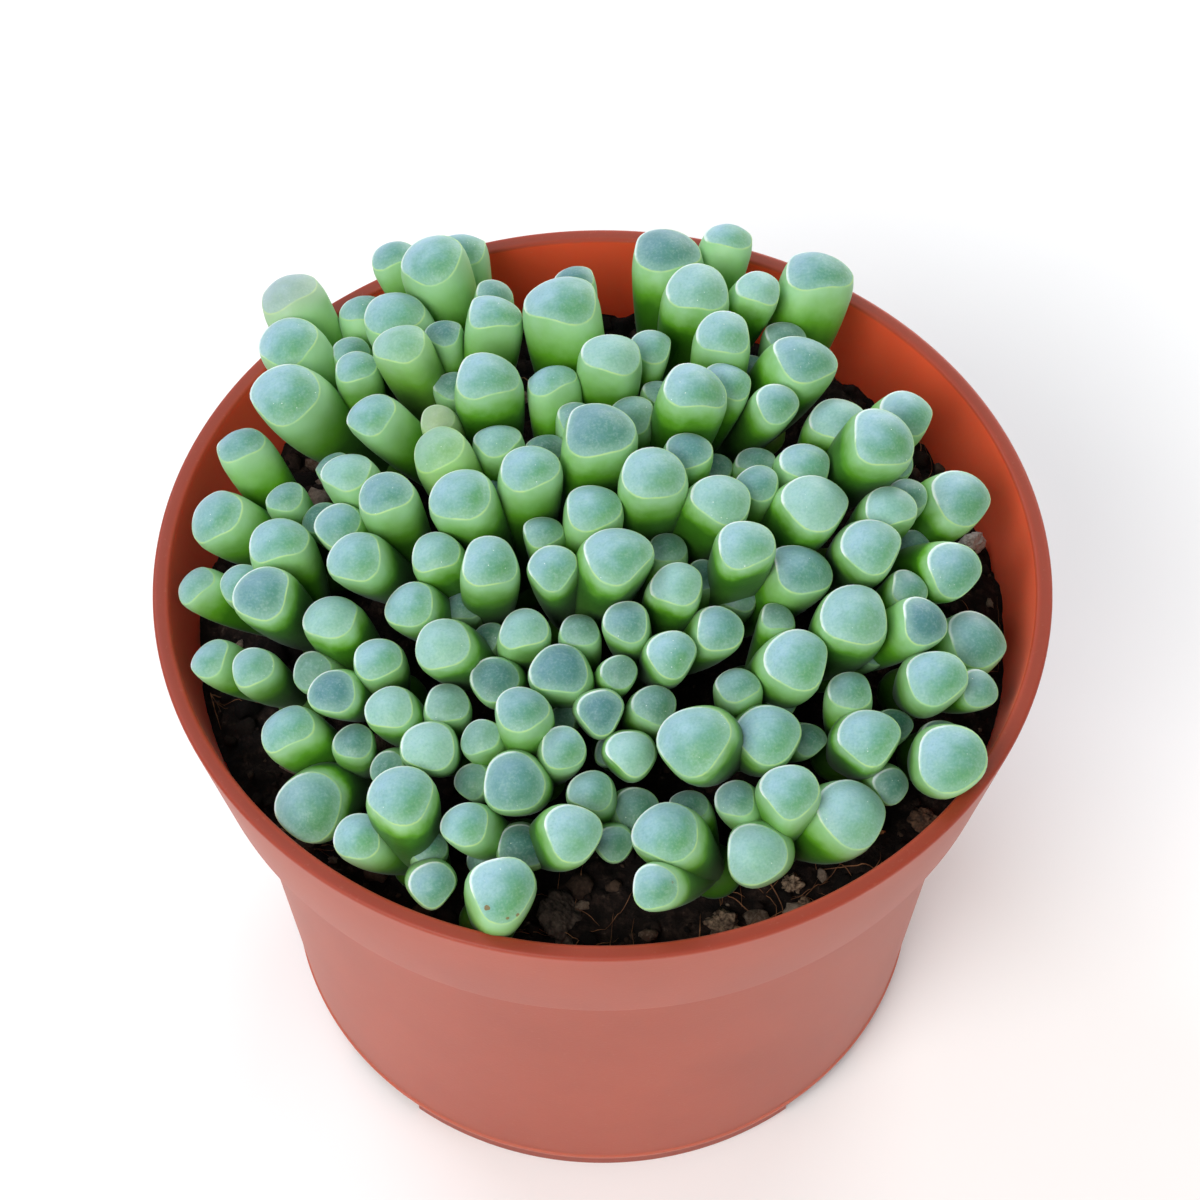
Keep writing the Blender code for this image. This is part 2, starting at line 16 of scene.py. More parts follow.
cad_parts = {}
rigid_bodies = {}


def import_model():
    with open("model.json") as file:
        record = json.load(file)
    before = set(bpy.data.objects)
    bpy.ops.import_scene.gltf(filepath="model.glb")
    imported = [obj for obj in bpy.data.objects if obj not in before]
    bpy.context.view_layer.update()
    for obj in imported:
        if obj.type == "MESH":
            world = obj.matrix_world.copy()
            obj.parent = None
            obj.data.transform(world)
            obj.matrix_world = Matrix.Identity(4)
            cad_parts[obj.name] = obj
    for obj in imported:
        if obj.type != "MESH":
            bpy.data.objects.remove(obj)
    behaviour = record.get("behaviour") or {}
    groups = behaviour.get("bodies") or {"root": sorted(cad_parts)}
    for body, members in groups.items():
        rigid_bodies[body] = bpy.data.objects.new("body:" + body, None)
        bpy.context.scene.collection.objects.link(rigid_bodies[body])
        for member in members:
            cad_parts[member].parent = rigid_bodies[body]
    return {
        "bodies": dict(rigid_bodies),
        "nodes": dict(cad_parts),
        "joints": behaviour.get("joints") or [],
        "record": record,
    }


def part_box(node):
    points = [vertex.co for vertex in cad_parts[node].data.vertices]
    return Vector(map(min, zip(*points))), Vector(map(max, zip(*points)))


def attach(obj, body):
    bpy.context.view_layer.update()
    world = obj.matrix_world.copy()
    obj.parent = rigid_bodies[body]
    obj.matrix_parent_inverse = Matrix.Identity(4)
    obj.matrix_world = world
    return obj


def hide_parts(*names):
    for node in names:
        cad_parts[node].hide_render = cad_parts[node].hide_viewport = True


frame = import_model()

MM = 0.001
FULL_TURN = 2 * math.pi
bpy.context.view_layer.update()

# Sizes read from the frame.
RIM_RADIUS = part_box("pot")[1].x / MM
POT_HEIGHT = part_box("pot")[1].z / MM
SOIL_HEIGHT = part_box("soil")[1].z / MM
SOIL_BELOW_RIM = POT_HEIGHT - SOIL_HEIGHT

# The rest of the pot: its solid's sizes, with a slightly rounder lip.
LIP_WIDTH = 2.0
LIP_ROUND = 0.45
COLLAR_DEPTH = 18.0
COLLAR_RADIUS = 48.8
COLLAR_WALL = 1.8
STEP_INSIDE = COLLAR_RADIUS - COLLAR_WALL
LEDGE_WIDTH = 3.1
WALL = 1.3
BASE_RADIUS = 40.1
FOOT_RADIUS = 39.7
FOOT_HEIGHT = 2.6
FOOT_WALL = 1.6
FLOOR = 1.4
NOTCH_ANGLES = (45, 135, 225, 315)
NOTCH_WIDTH = 12.0
NOTCH_HEIGHT = 2.3
DRAIN_RADIUS = 3.5
DRAIN_FROM_AXIS = 30.0
DRAIN_CUT = 8.0

# How finely the pot is meshed, and the angle from which its edges are sharp.
DRAIN_SEGMENTS = 48
POT_STEPS = 240
ARC_STEPS = 5
SHARP_ANGLE = math.radians(32)

# The bead over the foot ring, how high it lies over the ring, and the pale line under its top that is a
# painted highlight.
BEAD = 0.22
BEAD_RISE = 0.8
HIGHLIGHT_RISE = 0.6

# The dome that the leaf tips make over the rim.
DOME_TOP = 15.0
DOME_FALL = 9.0
DOME_SPAN = 47.0
DOME_BACK = 10.0
TIP_RISE = 0.45
RISE_FROM = -30.0
RISE_SPAN = 40.0

# How a leaf grows: from its head's crown, bowing outwards and then turning up.
FAN_CENTRE = (-1.0, 4.0)
ROOT_SPREAD = 0.55
ROOT_SPREAD_GAIN = 0.2 / 45.0
FRONT_SPREAD = 0.12 / 45.0
BOW_OUT = 0.58
BOW_UP = 0.45
FOOT_SWELLING = 0.42
SWELLING_POWER = 1.2
WIDEST_SHARE = 0.88
CROWN_RADIUS = 3.3
CROWN_HEIGHT = 2.6
CROWN_LIFT = 1.2

# How crowded leaves give way to each other.
GIVE_ANGLE = math.radians(54)
GIVE_SIDEWAYS = 0.12
SHORT_LEAF_BACK = 0.72
PRESS_ROUNDS = 200
PRESS_REACH = 17.0
PRESS_LEVELS = np.array([0.2, 0.35, 0.5, 0.65, 0.8, 0.93])
FREE_LEVEL = 0.75
LEAF_GAP = 0.3
SAME_HEAD_GAP = -0.3
HOLD = 0.02
LOWEST_TIP = -5.5
CROWN_SPACING = 7.6
PRESS_STEP = 0.35
LARGEST_MOVE = 0.5
CROWN_GIVE = 0.3
LARGEST_CROWN_MOVE = 0.3
SPACING_STEP = 0.25

# A leaf's shape: its shoulder, crest, window dome, ridge and waves are shares of its radius.
SHOULDER = 0.55
SHOULDER_POWER = 2.0
CREST_SHARE = 0.91
CORNER_DROP = 0.8
FACET_POWER = 9
WINDOW_DOME = 0.42
WINDOW_POWER = 2.0
WINDOW_UPRIGHT = 0.4
RIDGE = 0.02
WAVE = 0.04

# How finely leaves and crowns are meshed.
SEGMENTS = 36
BODY_RINGS = 14
SHOULDER_RINGS = 8
WINDOW_RINGS = 9
CROWN_SEGMENTS = 24
CROWN_RINGS = 10

# How far down a leaf its colours run, how far apart the window's specks are, and their share of that.
LEAF_DEPTH = 20.0
SPECK_APART = 0.9
SPECK_SIZE = 0.07

# Each head's leaves: right of the axis, behind it, width, and how far the leaf falls short of the dome.
HEADS = {
    "back_left_1": (
        (-38.5, 36.0, 8.0, -5),
        (-38.0, 27.5, 8.0, -1),
        (-38.5, 18.0, 9.0, 0),
        (-30.0, 24.5, 5.0, 2),
        (-28.5, 21.5, 5.5, 1),
        (-29.0, 32.0, 6.0, 2),
    ),
    "back_left_2": (
        (-26.0, 41.0, 6.0, 0),
        (-21.0, 38.0, 8.5, -2),
        (-17.5, 41.0, 7.5, 1),
    ),
    "back_left_3": (
        (-25.0, 30.0, 8.0, 0),
        (-24.0, 23.5, 7.0, 0),
        (-18.5, 25.5, 5.0, 2),
        (-13.0, 28.0, 7.0, 0),
        (-13.0, 32.0, 5.0, 2),
    ),
    "back_left_4": (
        (-14.0, 17.0, 8.0, 0),
        (-18.0, 17.0, 5.0, 3),
        (-19.5, 11.5, 4.5, 2),
        (-27.5, 13.0, 6.5, 0),
    ),
    "back_1": (
        (-5.5, 29.5, 9.5, 0),
        (-3.5, 34.0, 5.5, 1),
        (1.5, 20.0, 7.5, 0),
        (6.0, 22.0, 5.5, 2),
    ),
    "back_2": (
        (-6.0, 16.5, 6.5, 0),
        (-4.0, 10.0, 5.0, 3),
        (0.0, 8.5, 9.0, 0),
        (-6.5, 7.5, 5.0, 4),
    ),
    "back_3": (
        (10.5, 15.0, 8.0, 0),
        (15.0, 17.0, 6.5, 1.5),
        (6.5, 15.0, 4.5, 4),
        (4.5, 11.0, 6.0, 2),
    ),
    "back_right_1": (
        (8.0, 39.5, 9.0, 0),
        (11.5, 32.0, 8.0, 0),
        (15.5, 43.0, 6.5, 0),
        (19.5, 33.0, 6.0, 0),
    ),
    "back_right_2": (
        (15.0, 23.5, 7.0, 0),
        (18.0, 20.0, 5.0, 4),
        (24.5, 20.5, 8.5, 0),
        (20.0, 14.0, 5.5, 2),
    ),
    "back_right_3": (
        (28.0, 13.0, 7.5, 0),
        (36.5, 15.0, 7.0, 0),
        (32.0, 8.5, 8.5, 0),
        (34.5, 8.5, 5.0, 3),
    ),
    "back_right_4": (
        (26.5, 38.0, 9.0, 0),
        (21.5, 25.5, 5.5, 4),
    ),
    "left_1": (
        (-42.5, 13.0, 6.5, 0),
        (-45.5, 2.5, 7.5, 0),
        (-36.5, 3.0, 5.0, 1),
    ),
    "left_2": (
        (-38.5, -3.0, 7.5, 0),
        (-41.5, -6.0, 5.5, 1),
        (-47.0, -6.0, 5.5, 0),
        (-39.0, -8.5, 7.5, 0),
    ),
    "left_3": (
        (-33.0, 0.5, 5.0, 2),
        (-30.0, -2.0, 6.0, 0),
        (-30.5, 5.0, 6.5, 0),
        (-32.0, 7.0, 4.5, 2),
        (-25.5, 1.5, 7.0, 0),
        (-29.0, -6.5, 7.0, 0),
    ),
    "left_4": (
        (-31.0, -12.5, 7.0, 0),
        (-25.5, -19.0, 6.0, 0),
        (-30.5, -22.0, 6.0, 0),
        (-33.0, -19.0, 5.0, 2),
    ),
    "left_5": (
        (-45.0, -15.5, 5.5, 0),
        (-40.0, -17.5, 5.5, 0),
    ),
    "left_6": (
        (-36.0, -25.0, 7.0, 0),
        (-33.0, -35.0, 8.5, 0),
        (-26.5, -28.0, 5.0, 1),
    ),
    "middle_1": (
        (-18.5, 6.5, 7.0, 0),
        (-12.0, 7.5, 6.0, 1.5),
        (-16.5, 0.0, 8.0, 0),
        (-13.5, 2.5, 5.0, 5),
        (-8.5, 3.5, 7.5, 0),
    ),
    "middle_2": (
        (-1.0, -2.0, 7.0, 0),
        (-6.5, -4.5, 5.0, 1.5),
        (-5.0, -9.5, 6.0, 0),
        (2.0, -8.5, 8.5, 0),
        (-0.5, -13.0, 4.5, 4),
    ),
    "middle_3": (
        (6.5, 2.5, 8.0, 0),
        (10.0, 6.5, 6.0, 1.5),
        (13.5, 0.0, 7.5, 0),
        (14.5, 4.5, 4.5, 5),
    ),
    "middle_4": (
        (24.0, 5.5, 6.5, 1),
        (24.0, 0.0, 8.5, 0),
        (18.5, 5.0, 5.0, 2),
        (18.0, 1.5, 5.5, 1),
    ),
    "middle_5": (
        (16.5, -6.0, 7.0, 0),
        (23.5, -8.0, 8.0, 0),
        (11.5, -10.5, 4.5, 4),
        (15.5, -12.0, 4.5, 4),
    ),
    "middle_6": (
        (8.0, -11.0, 6.5, 0),
        (7.5, -6.5, 5.0, 4),
        (13.0, -16.5, 6.0, 0),
        (2.5, -16.0, 5.5, 0),
        (8.0, -20.0, 6.0, 0),
    ),
    "middle_7": (
        (-19.0, -6.5, 6.0, 0),
        (-13.0, -8.5, 7.0, 0),
        (-21.5, -13.0, 6.5, 0),
        (-16.0, -13.5, 4.5, 4),
    ),
    "right_1": (
        (42.0, 4.5, 8.0, 0),
        (33.0, 1.0, 6.5, 1),
        (35.5, 4.0, 5.0, 2),
        (32.5, -4.5, 7.5, 0),
        (37.0, -4.0, 5.0, 2.5),
        (40.0, -6.0, 7.0, 0),
    ),
    "right_2": (
        (28.5, -12.5, 8.5, 0),
        (34.5, -9.0, 5.0, 3),
        (36.5, -14.0, 6.5, 0),
        (31.0, -17.5, 4.0, 6),
    ),
    "right_3": (
        (43.5, -14.0, 8.0, 0),
        (37.0, -18.5, 7.5, 0),
        (43.0, -19.0, 5.0, 3),
    ),
    "right_4": (
        (21.5, -19.5, 8.0, 0),
        (20.0, -14.5, 4.5, 3),
        (20.5, -24.5, 4.0, 5),
    ),
    "right_5": (
        (29.5, -27.0, 7.5, 0),
        (34.0, -24.5, 4.5, 4),
        (28.0, -22.0, 5.5, 1),
        (32.5, -32.5, 4.5, 2),
    ),
    "right_6": (
        (38.5, -28.0, 8.5, -2.5),
        (38.0, -24.5, 5.0, 2),
    ),
    "front_1": (
        (-24.5, -25.0, 6.0, 0),
        (-25.0, -31.0, 4.5, 3),
        (-18.0, -29.5, 6.5, 0),
        (-17.5, -25.0, 5.5, 1),
    ),
    "front_2": (
        (-18.5, -18.0, 7.0, 0),
        (-13.0, -17.5, 4.0, 5),
        (-9.0, -17.5, 6.0, 0),
        (-12.0, -22.5, 6.0, 1),
    ),
    "front_3": (
        (-5.0, -22.0, 7.0, 0),
        (-2.5, -17.0, 5.0, 2),
        (2.0, -22.0, 4.5, 2),
        (0.0, -27.0, 5.5, 0),
        (-4.5, -27.5, 3.5, 6),
    ),
    "front_4": (
        (-9.5, -26.5, 6.5, 0),
        (-13.5, -28.5, 5.0, 1),
        (-10.0, -34.0, 7.5, 0),
        (-5.0, -30.5, 5.5, 0),
        (-15.0, -33.0, 4.5, 3),
    ),
    "front_5": (
        (-22.5, -33.5, 8.0, 0),
        (-26.5, -37.0, 6.0, 0),
        (-19.0, -40.0, 4.5, 2),
        (-18.5, -44.0, 5.5, 0),
    ),
    "front_6": (
        (-8.5, -41.0, 6.0, 0),
        (-15.5, -37.5, 6.0, 0),
        (-13.0, -42.0, 4.5, 3),
        (-4.0, -39.0, 7.0, 0),
    ),
    "front_7": (
        (5.5, -39.0, 8.0, 0),
        (5.5, -43.5, 5.5, 0),
        (9.0, -35.5, 5.0, 2),
    ),
    "front_8": (
        (4.0, -31.0, 6.0, 0),
        (6.5, -25.5, 5.5, 1),
        (0.5, -31.0, 3.5, 6),
    ),
    "front_9": (
        (9.5, -29.5, 9.0, 0),
        (17.0, -28.5, 8.0, 0),
        (16.0, -23.0, 5.5, 1),
        (24.0, -28.5, 4.5, 4),
    ),
    "front_10": (
        (14.5, -35.0, 5.0, 1),
        (16.5, -41.0, 7.5, 0),
        (20.5, -33.0, 7.0, 0),
        (28.5, -35.0, 9.0, 0),
    ),
    "front_11": ((-10.5, -43.5, 7.8, -2.5),),
    "front_12": (
        (4.0, -36.5, 5.5, 1),
        (1.5, -40.5, 4.5, 2),
        (-1.5, -34.0, 5.5, 1),
    ),
}

# Crowns that stand where their leaves hide them: right of the axis and behind it.
HIDDEN_CROWNS = {
    "front_5": (-18.5, -32.0),
    "front_7": (7.0, -30.0),
    "front_10": (20.0, -29.0),
    "front_11": (-10.5, -35.0),
    "left_6": (-25.5, -23.5),
    "right_6": (36.0, -20.0),
}

# ---- where the leaves stand, as in the solids ----


def dome_height(right, back):
    """Height of the dome of leaf tips over the rim."""
    return DOME_TOP - DOME_FALL * (right**2 + (back - DOME_BACK) ** 2) / DOME_SPAN**2


def leaf_tip(right, back, width, short):
    """The top of a leaf, from the rim's middle. A short leaf stands further back, a back leaf taller."""
    rise = TIP_RISE * width / 2 * min(max((back - RISE_FROM) / RISE_SPAN, 0), 1)
    return (right, back + SHORT_LEAF_BACK * short, dome_height(right, back) + rise - short)


def head_root(name, tips):
    """A head's crown on the ground, drawn in towards the middle of the plant, and less so at the front."""
    if name in HIDDEN_CROWNS:
        return (*HIDDEN_CROWNS[name], -SOIL_BELOW_RIM)
    reach = np.mean(tips, axis=0)[:2] - FAN_CENTRE
    share = ROOT_SPREAD + ROOT_SPREAD_GAIN * np.hypot(*reach) + FRONT_SPREAD * max(-reach[1], 0)
    return (*(np.array(FAN_CENTRE) + reach * share), -SOIL_BELOW_RIM)


def along_leaf(root, tip, t):
    """The leaf's centre line: it bows outwards from the crown and turns up towards its tip."""
    bow = root + (tip - root) * (BOW_OUT, BOW_OUT, BOW_UP)
    return (1 - t) ** 2 * root + 2 * t * (1 - t) * bow + t**2 * tip


def swelling(t, widest=WIDEST_SHARE):
    """The leaf's radius along it, as a share of its full radius: a narrow foot that swells to the top."""
    rise = np.sin(np.clip(t / widest, 0, 1) * math.pi / 2) ** SWELLING_POWER
    return FOOT_SWELLING + (1 - FOOT_SWELLING) * rise


def give_matrix():
    """How far a pressed leaf moves each way: freely up and forward or down and back, and little otherwise."""
    easy = np.array((0, math.cos(GIVE_ANGLE), -math.sin(GIVE_ANGLE)))
    return GIVE_SIDEWAYS * np.eye(3) + (1 - GIVE_SIDEWAYS) * np.outer(easy, easy)


def neighbours(tips):
    count = len(tips)
    close = [
        (i, j)
        for i in range(count)
        for j in range(i + 1, count)
        if math.dist(tips[i][:2], tips[j][:2]) < PRESS_REACH
    ]
    return np.array(close).T


def press_apart(tips, roots, head_of, radii):
    """Moves crowded tips and crowns until leaves of different heads stand clear of each other."""
    grown = tips.copy()
    first, second = neighbours(tips)
    pairs = np.arange(len(first))
    same_head = head_of[first] == head_of[second]
    levels = len(PRESS_LEVELS)
    radius = radii * swelling(PRESS_LEVELS)[:, None]
    wanted = radius[:, None, first] + radius[None, :, second] + np.where(same_head, SAME_HEAD_GAP, LEAF_GAP)
    low = (PRESS_LEVELS[:, None] < FREE_LEVEL) | (PRESS_LEVELS[None, :] < FREE_LEVEL)
    ignored = low[:, :, None] & same_head
    give = give_matrix()
    for _ in range(PRESS_ROUNDS):
        line = np.stack([along_leaf(roots[head_of], tips, t) for t in PRESS_LEVELS])
        apart = line[:, None, first] - line[None, :, second]
        overlap = wanted - np.linalg.norm(apart, axis=3)
        overlap = np.where(ignored, 0, overlap).reshape(levels**2, -1)
        deepest = overlap.argmax(axis=0)
        depth = np.maximum(overlap[deepest, pairs], 0)
        first_t, second_t = PRESS_LEVELS[deepest // levels], PRESS_LEVELS[deepest % levels]
        push = apart.reshape(levels**2, -1, 3)[deepest, pairs]
        push /= np.linalg.norm(push, axis=1)[:, None]
        eased = push @ give
        step = depth / ((push * eased).sum(axis=1) * (first_t + second_t)) * PRESS_STEP
        move = np.zeros_like(tips)
        np.add.at(move, first, eased * (step * first_t)[:, None])
        np.add.at(move, second, -eased * (step * second_t)[:, None])
        tips = tips + np.clip(move, -LARGEST_MOVE, LARGEST_MOVE)
        tips += (grown - tips) * HOLD
        tips[:, 2] = np.maximum(tips[:, 2], LOWEST_TIP)
        level_push = push * (1, 1, 0) * (depth * ~same_head * CROWN_GIVE)[:, None]
        shift = np.zeros_like(roots)
        np.add.at(shift, head_of[first], level_push * (1 - first_t)[:, None])
        np.add.at(shift, head_of[second], -level_push * (1 - second_t)[:, None])
        roots = roots + np.clip(shift, -LARGEST_CROWN_MOVE, LARGEST_CROWN_MOVE)
        roots = space_crowns(roots)
    return tips, roots


def space_crowns(roots):
    """Moves crowns that stand closer than CROWN_SPACING half the missing way apart."""
    gap = roots[:, None] - roots[None]
    distance = np.linalg.norm(gap, axis=2) + np.eye(len(roots)) * CROWN_SPACING
    missing = np.maximum(CROWN_SPACING - distance, 0) / distance
    return roots + (gap * missing[:, :, None]).sum(axis=1) * SPACING_STEP


def plan_leaves():
    """Every head's crown and its leaves' tips and radii, in millimetres from the pot's base."""
    names = list(HEADS)
    head_of = np.array([index for index, name in enumerate(names) for _ in HEADS[name]])
    rows = [leaf for name in names for leaf in HEADS[name]]
    tips = np.array([leaf_tip(*leaf) for leaf in rows])
    radii = np.array([width / 2 for _, _, width, _ in rows])
    roots = np.array([head_root(name, tips[head_of == index]) for index, name in enumerate(names)])
    tips, roots = press_apart(tips, roots, head_of, radii)
    tips[:, 2] += POT_HEIGHT
    roots[:, 2] += POT_HEIGHT + CROWN_LIFT
    return [
        (name, roots[index], list(zip(tips[head_of == index], radii[head_of == index])))
        for index, name in enumerate(names)
    ]


# ---- small tools ----


def ease(value, low, high):
    """0 below low, 1 above high, and a smooth rise between them."""
    share = np.clip((value - low) / (high - low), 0, 1)
    return share * share * (3 - 2 * share)


def unit(vector):
    vector = np.asarray(vector, float)
    return vector / np.linalg.norm(vector)


def turn_from_up(direction):
    """The rotation, with no twist, that takes +Z to a direction."""
    x, y, z = unit(direction)
    cross = np.array([[0, 0, x], [0, 0, y], [-x, -y, 0]])
    return np.eye(3) + cross + cross @ cross / (1 + z)


def screen(red, green, blue):
    """A colour as seen on screen, 0 to 255, in the linear values that shaders use."""
    values = [part / 255 for part in (red, green, blue)]
    return (*(part / 12.92 if part < 0.04045 else ((part + 0.055) / 1.055) ** 2.4 for part in values), 1)


class Shells:
    """Points, faces and per-point fields of closed shells that together make one mesh."""

    def __init__(self):
        self.points = []
        self.faces = []
        self.fields = {}
        self.count = 0

    def add(self, points, faces, **fields):
        points = np.asarray(points, float)
        self.points.append(points)
        self.faces.extend(tuple(self.count + corner for corner in face) for face in faces)
        for field, values in fields.items():
            self.fields.setdefault(field, []).append(np.broadcast_to(values, len(points)))
        self.count += len(points)

    def mesh(self, name):
        mesh = bpy.data.meshes.new(name)
        mesh.from_pydata((np.concatenate(self.points) * MM).tolist(), [], self.faces)
        for field, values in self.fields.items():
            layer = mesh.attributes.new(field, "FLOAT", "POINT")
            layer.data.foreach_set("value", np.concatenate(values).astype(np.float32))
        mesh.shade_smooth()
        return mesh


def new_object(name, data):
    thing = bpy.data.objects.new(name, data)
    bpy.context.scene.collection.objects.link(thing)
    return thing


def make_piece(name, shells, material, slot, *nodes):
    """A piece of the object, riding on its one body and standing for some of its CAD nodes."""
    mesh = shells.mesh(name)
    mesh.materials.append(material)
    piece = new_object(name, mesh)
    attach(piece, "root")
    if nodes:
        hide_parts(*nodes)
    return piece


def ball_faces(rings, segments):
    """Faces of a ball: a point at each end and rings between them, from the bottom up."""
    top = 1 + (rings - 1) * segments
    faces = []
    for a in range(segments):
        b = (a + 1) % segments
        faces.append((0, 1 + b, 1 + a))
        faces.append((top + a, top + b, top + segments))
        for low in range(1, top, segments):
            faces.append((low + a, low + b, low + b + segments, low + a + segments))
    return faces


# ---- node helpers ----


def new_material(name, looks):
    """A material whose shader has the given constant looks, and its node tree."""
    material = bpy.data.materials.new(name)
    material.use_nodes = True
    tree = material.node_tree
    for socket, value in looks.items():
        tree.nodes["Principled BSDF"].inputs[socket].default_value = value
    return material, tree


def add_node(tree, kind, inputs=(), **settings):
    """A node with its settings, and its inputs linked or set."""
    node = tree.nodes.new(kind)
    for key, value in settings.items():
        setattr(node, key, value)
    for key, value in dict(inputs).items():
        if isinstance(value, bpy.types.NodeSocket):
            tree.links.new(value, node.inputs[key])
        else:
            node.inputs[key].default_value = value
    return node


def field_of(tree, name):
    return add_node(tree, "ShaderNodeAttribute", attribute_name=name).outputs["Fac"]


def maths(tree, operation, first, second=0.0, third=0.0):
    inputs = {0: first, 1: second, 2: third}
    return add_node(tree, "ShaderNodeMath", inputs, operation=operation).outputs[0]


def spread(tree, value, low, high, start=0.0, end=1.0):
    """Maps low..high to start..end, smoothly and no further."""
    inputs = {"Value": value, "From Min": low, "From Max": high, "To Min": start, "To Max": end}
    return add_node(tree, "ShaderNodeMapRange", inputs, interpolation_type="SMOOTHSTEP").outputs["Result"]


def blend(tree, share, first, second):
    return add_node(tree, "ShaderNodeMix", {0: share, 6: first, 7: second}, data_type="RGBA").outputs[2]


def coats(tree, under, *layers):
    """Screen colours laid over each other in turn, from (share, red, green, blue) layers."""
    for share, *shade in layers:
        under = blend(tree, share, under, screen(*shade))
    return under


def place(tree):
    return add_node(tree, "ShaderNodeTexCoord").outputs["Object"]


def speckle(tree, size, detail=3.0, rough=0.5):
    """Noise whose features are about size millimetres wide."""
    inputs = {"Vector": place(tree), "Scale": 1 / (size * MM), "Detail": detail, "Roughness": rough}
    return add_node(tree, "ShaderNodeTexNoise", inputs).outputs["Fac"]


def ramp(tree, factor, *stops):
    """A ramp of screen colours, from (position, red, green, blue) stops."""
    node = add_node(tree, "ShaderNodeValToRGB", {"Fac": factor})
    elements = node.color_ramp.elements
    while len(elements) < len(stops):
        elements.new(0.5)
    for element, (position, *shade) in zip(elements, stops):
        element.position = position
        element.color = screen(*shade)
    return node.outputs["Color"]


def dress(material, colour, height=None, depth=0.0, strength=1.0):
    """Gives a material its colour, and raises its surface by height times depth millimetres."""
    tree = material.node_tree
    shader = tree.nodes["Principled BSDF"]
    tree.links.new(colour, shader.inputs["Base Color"])
    if height is not None:
        inputs = {"Height": height, "Distance": depth * MM, "Strength": strength}
        raised = add_node(tree, "ShaderNodeBump", inputs)
        tree.links.new(raised.outputs["Normal"], shader.inputs["Normal"])
    return material


# ---- materials ----

EARTHY = {"Roughness": 0.95, "Specular IOR Level": 0.25}


def window_colour(tree, tone, young):
    """Translucent window skin, specked white: painted light makes it blue-grey at its upper left, where the
    light falls, and painted shade makes it green at its lower right.
    """
    uneven = maths(tree, "MULTIPLY_ADD", speckle(tree, 2.2), 0.9, -0.45)
    slant = maths(tree, "ADD", field_of(tree, "slant"), uneven)
    window = ramp(
        tree,
        spread(tree, slant, -0.9, 0.9),
        (0.0, 90, 154, 90),
        (0.42, 110, 166, 150),
        (1.0, 158, 196, 212),
    )
    grain = speckle(tree, 0.3, 3.0, 0.6)
    marbled = speckle(tree, 1.2, 5.0, 0.7)
    window = coats(
        tree,
        window,
        (spread(tree, tone, 0.0, 0.35, 0.55, 0.0), 158, 200, 186),
        (spread(tree, tone, 0.7, 1.0, 0.0, 0.75), 62, 116, 126),
        # Darker green for small young leaves, and painted shade on leaves sunk below the others.
        (maths(tree, "MULTIPLY", young, 0.75), 50, 100, 72),
        (spread(tree, field_of(tree, "from_crest"), -1.4, -0.1, 0.0, 0.4), 164, 204, 186),
        (spread(tree, grain, 0.45, 0.7, 0.0, 0.11), 196, 216, 212),
        (spread(tree, grain, 0.3, 0.5, 0.1, 0.0), 50, 104, 92),
        (spread(tree, marbled, 0.5, 0.7, 0.0, 0.1), 190, 214, 212),
        (spread(tree, marbled, 0.32, 0.5, 0.1, 0.0), 72, 132, 100),
    )
    dots = add_node(tree, "ShaderNodeTexVoronoi", {"Vector": place(tree), "Scale": 1 / (SPECK_APART * MM)})
    chance = add_node(tree, "ShaderNodeSeparateColor", {0: dots.outputs["Color"]}).outputs[0]
    chosen = maths(tree, "GREATER_THAN", chance, 0.4)
    patch = spread(tree, speckle(tree, 9.0), 0.46, 0.6, 0.0, 0.85)
    white = maths(tree, "MULTIPLY", maths(tree, "LESS_THAN", dots.outputs["Distance"], SPECK_SIZE), chosen)
    return blend(tree, maths(tree, "MULTIPLY", white, patch), window, screen(226, 238, 232)), slant


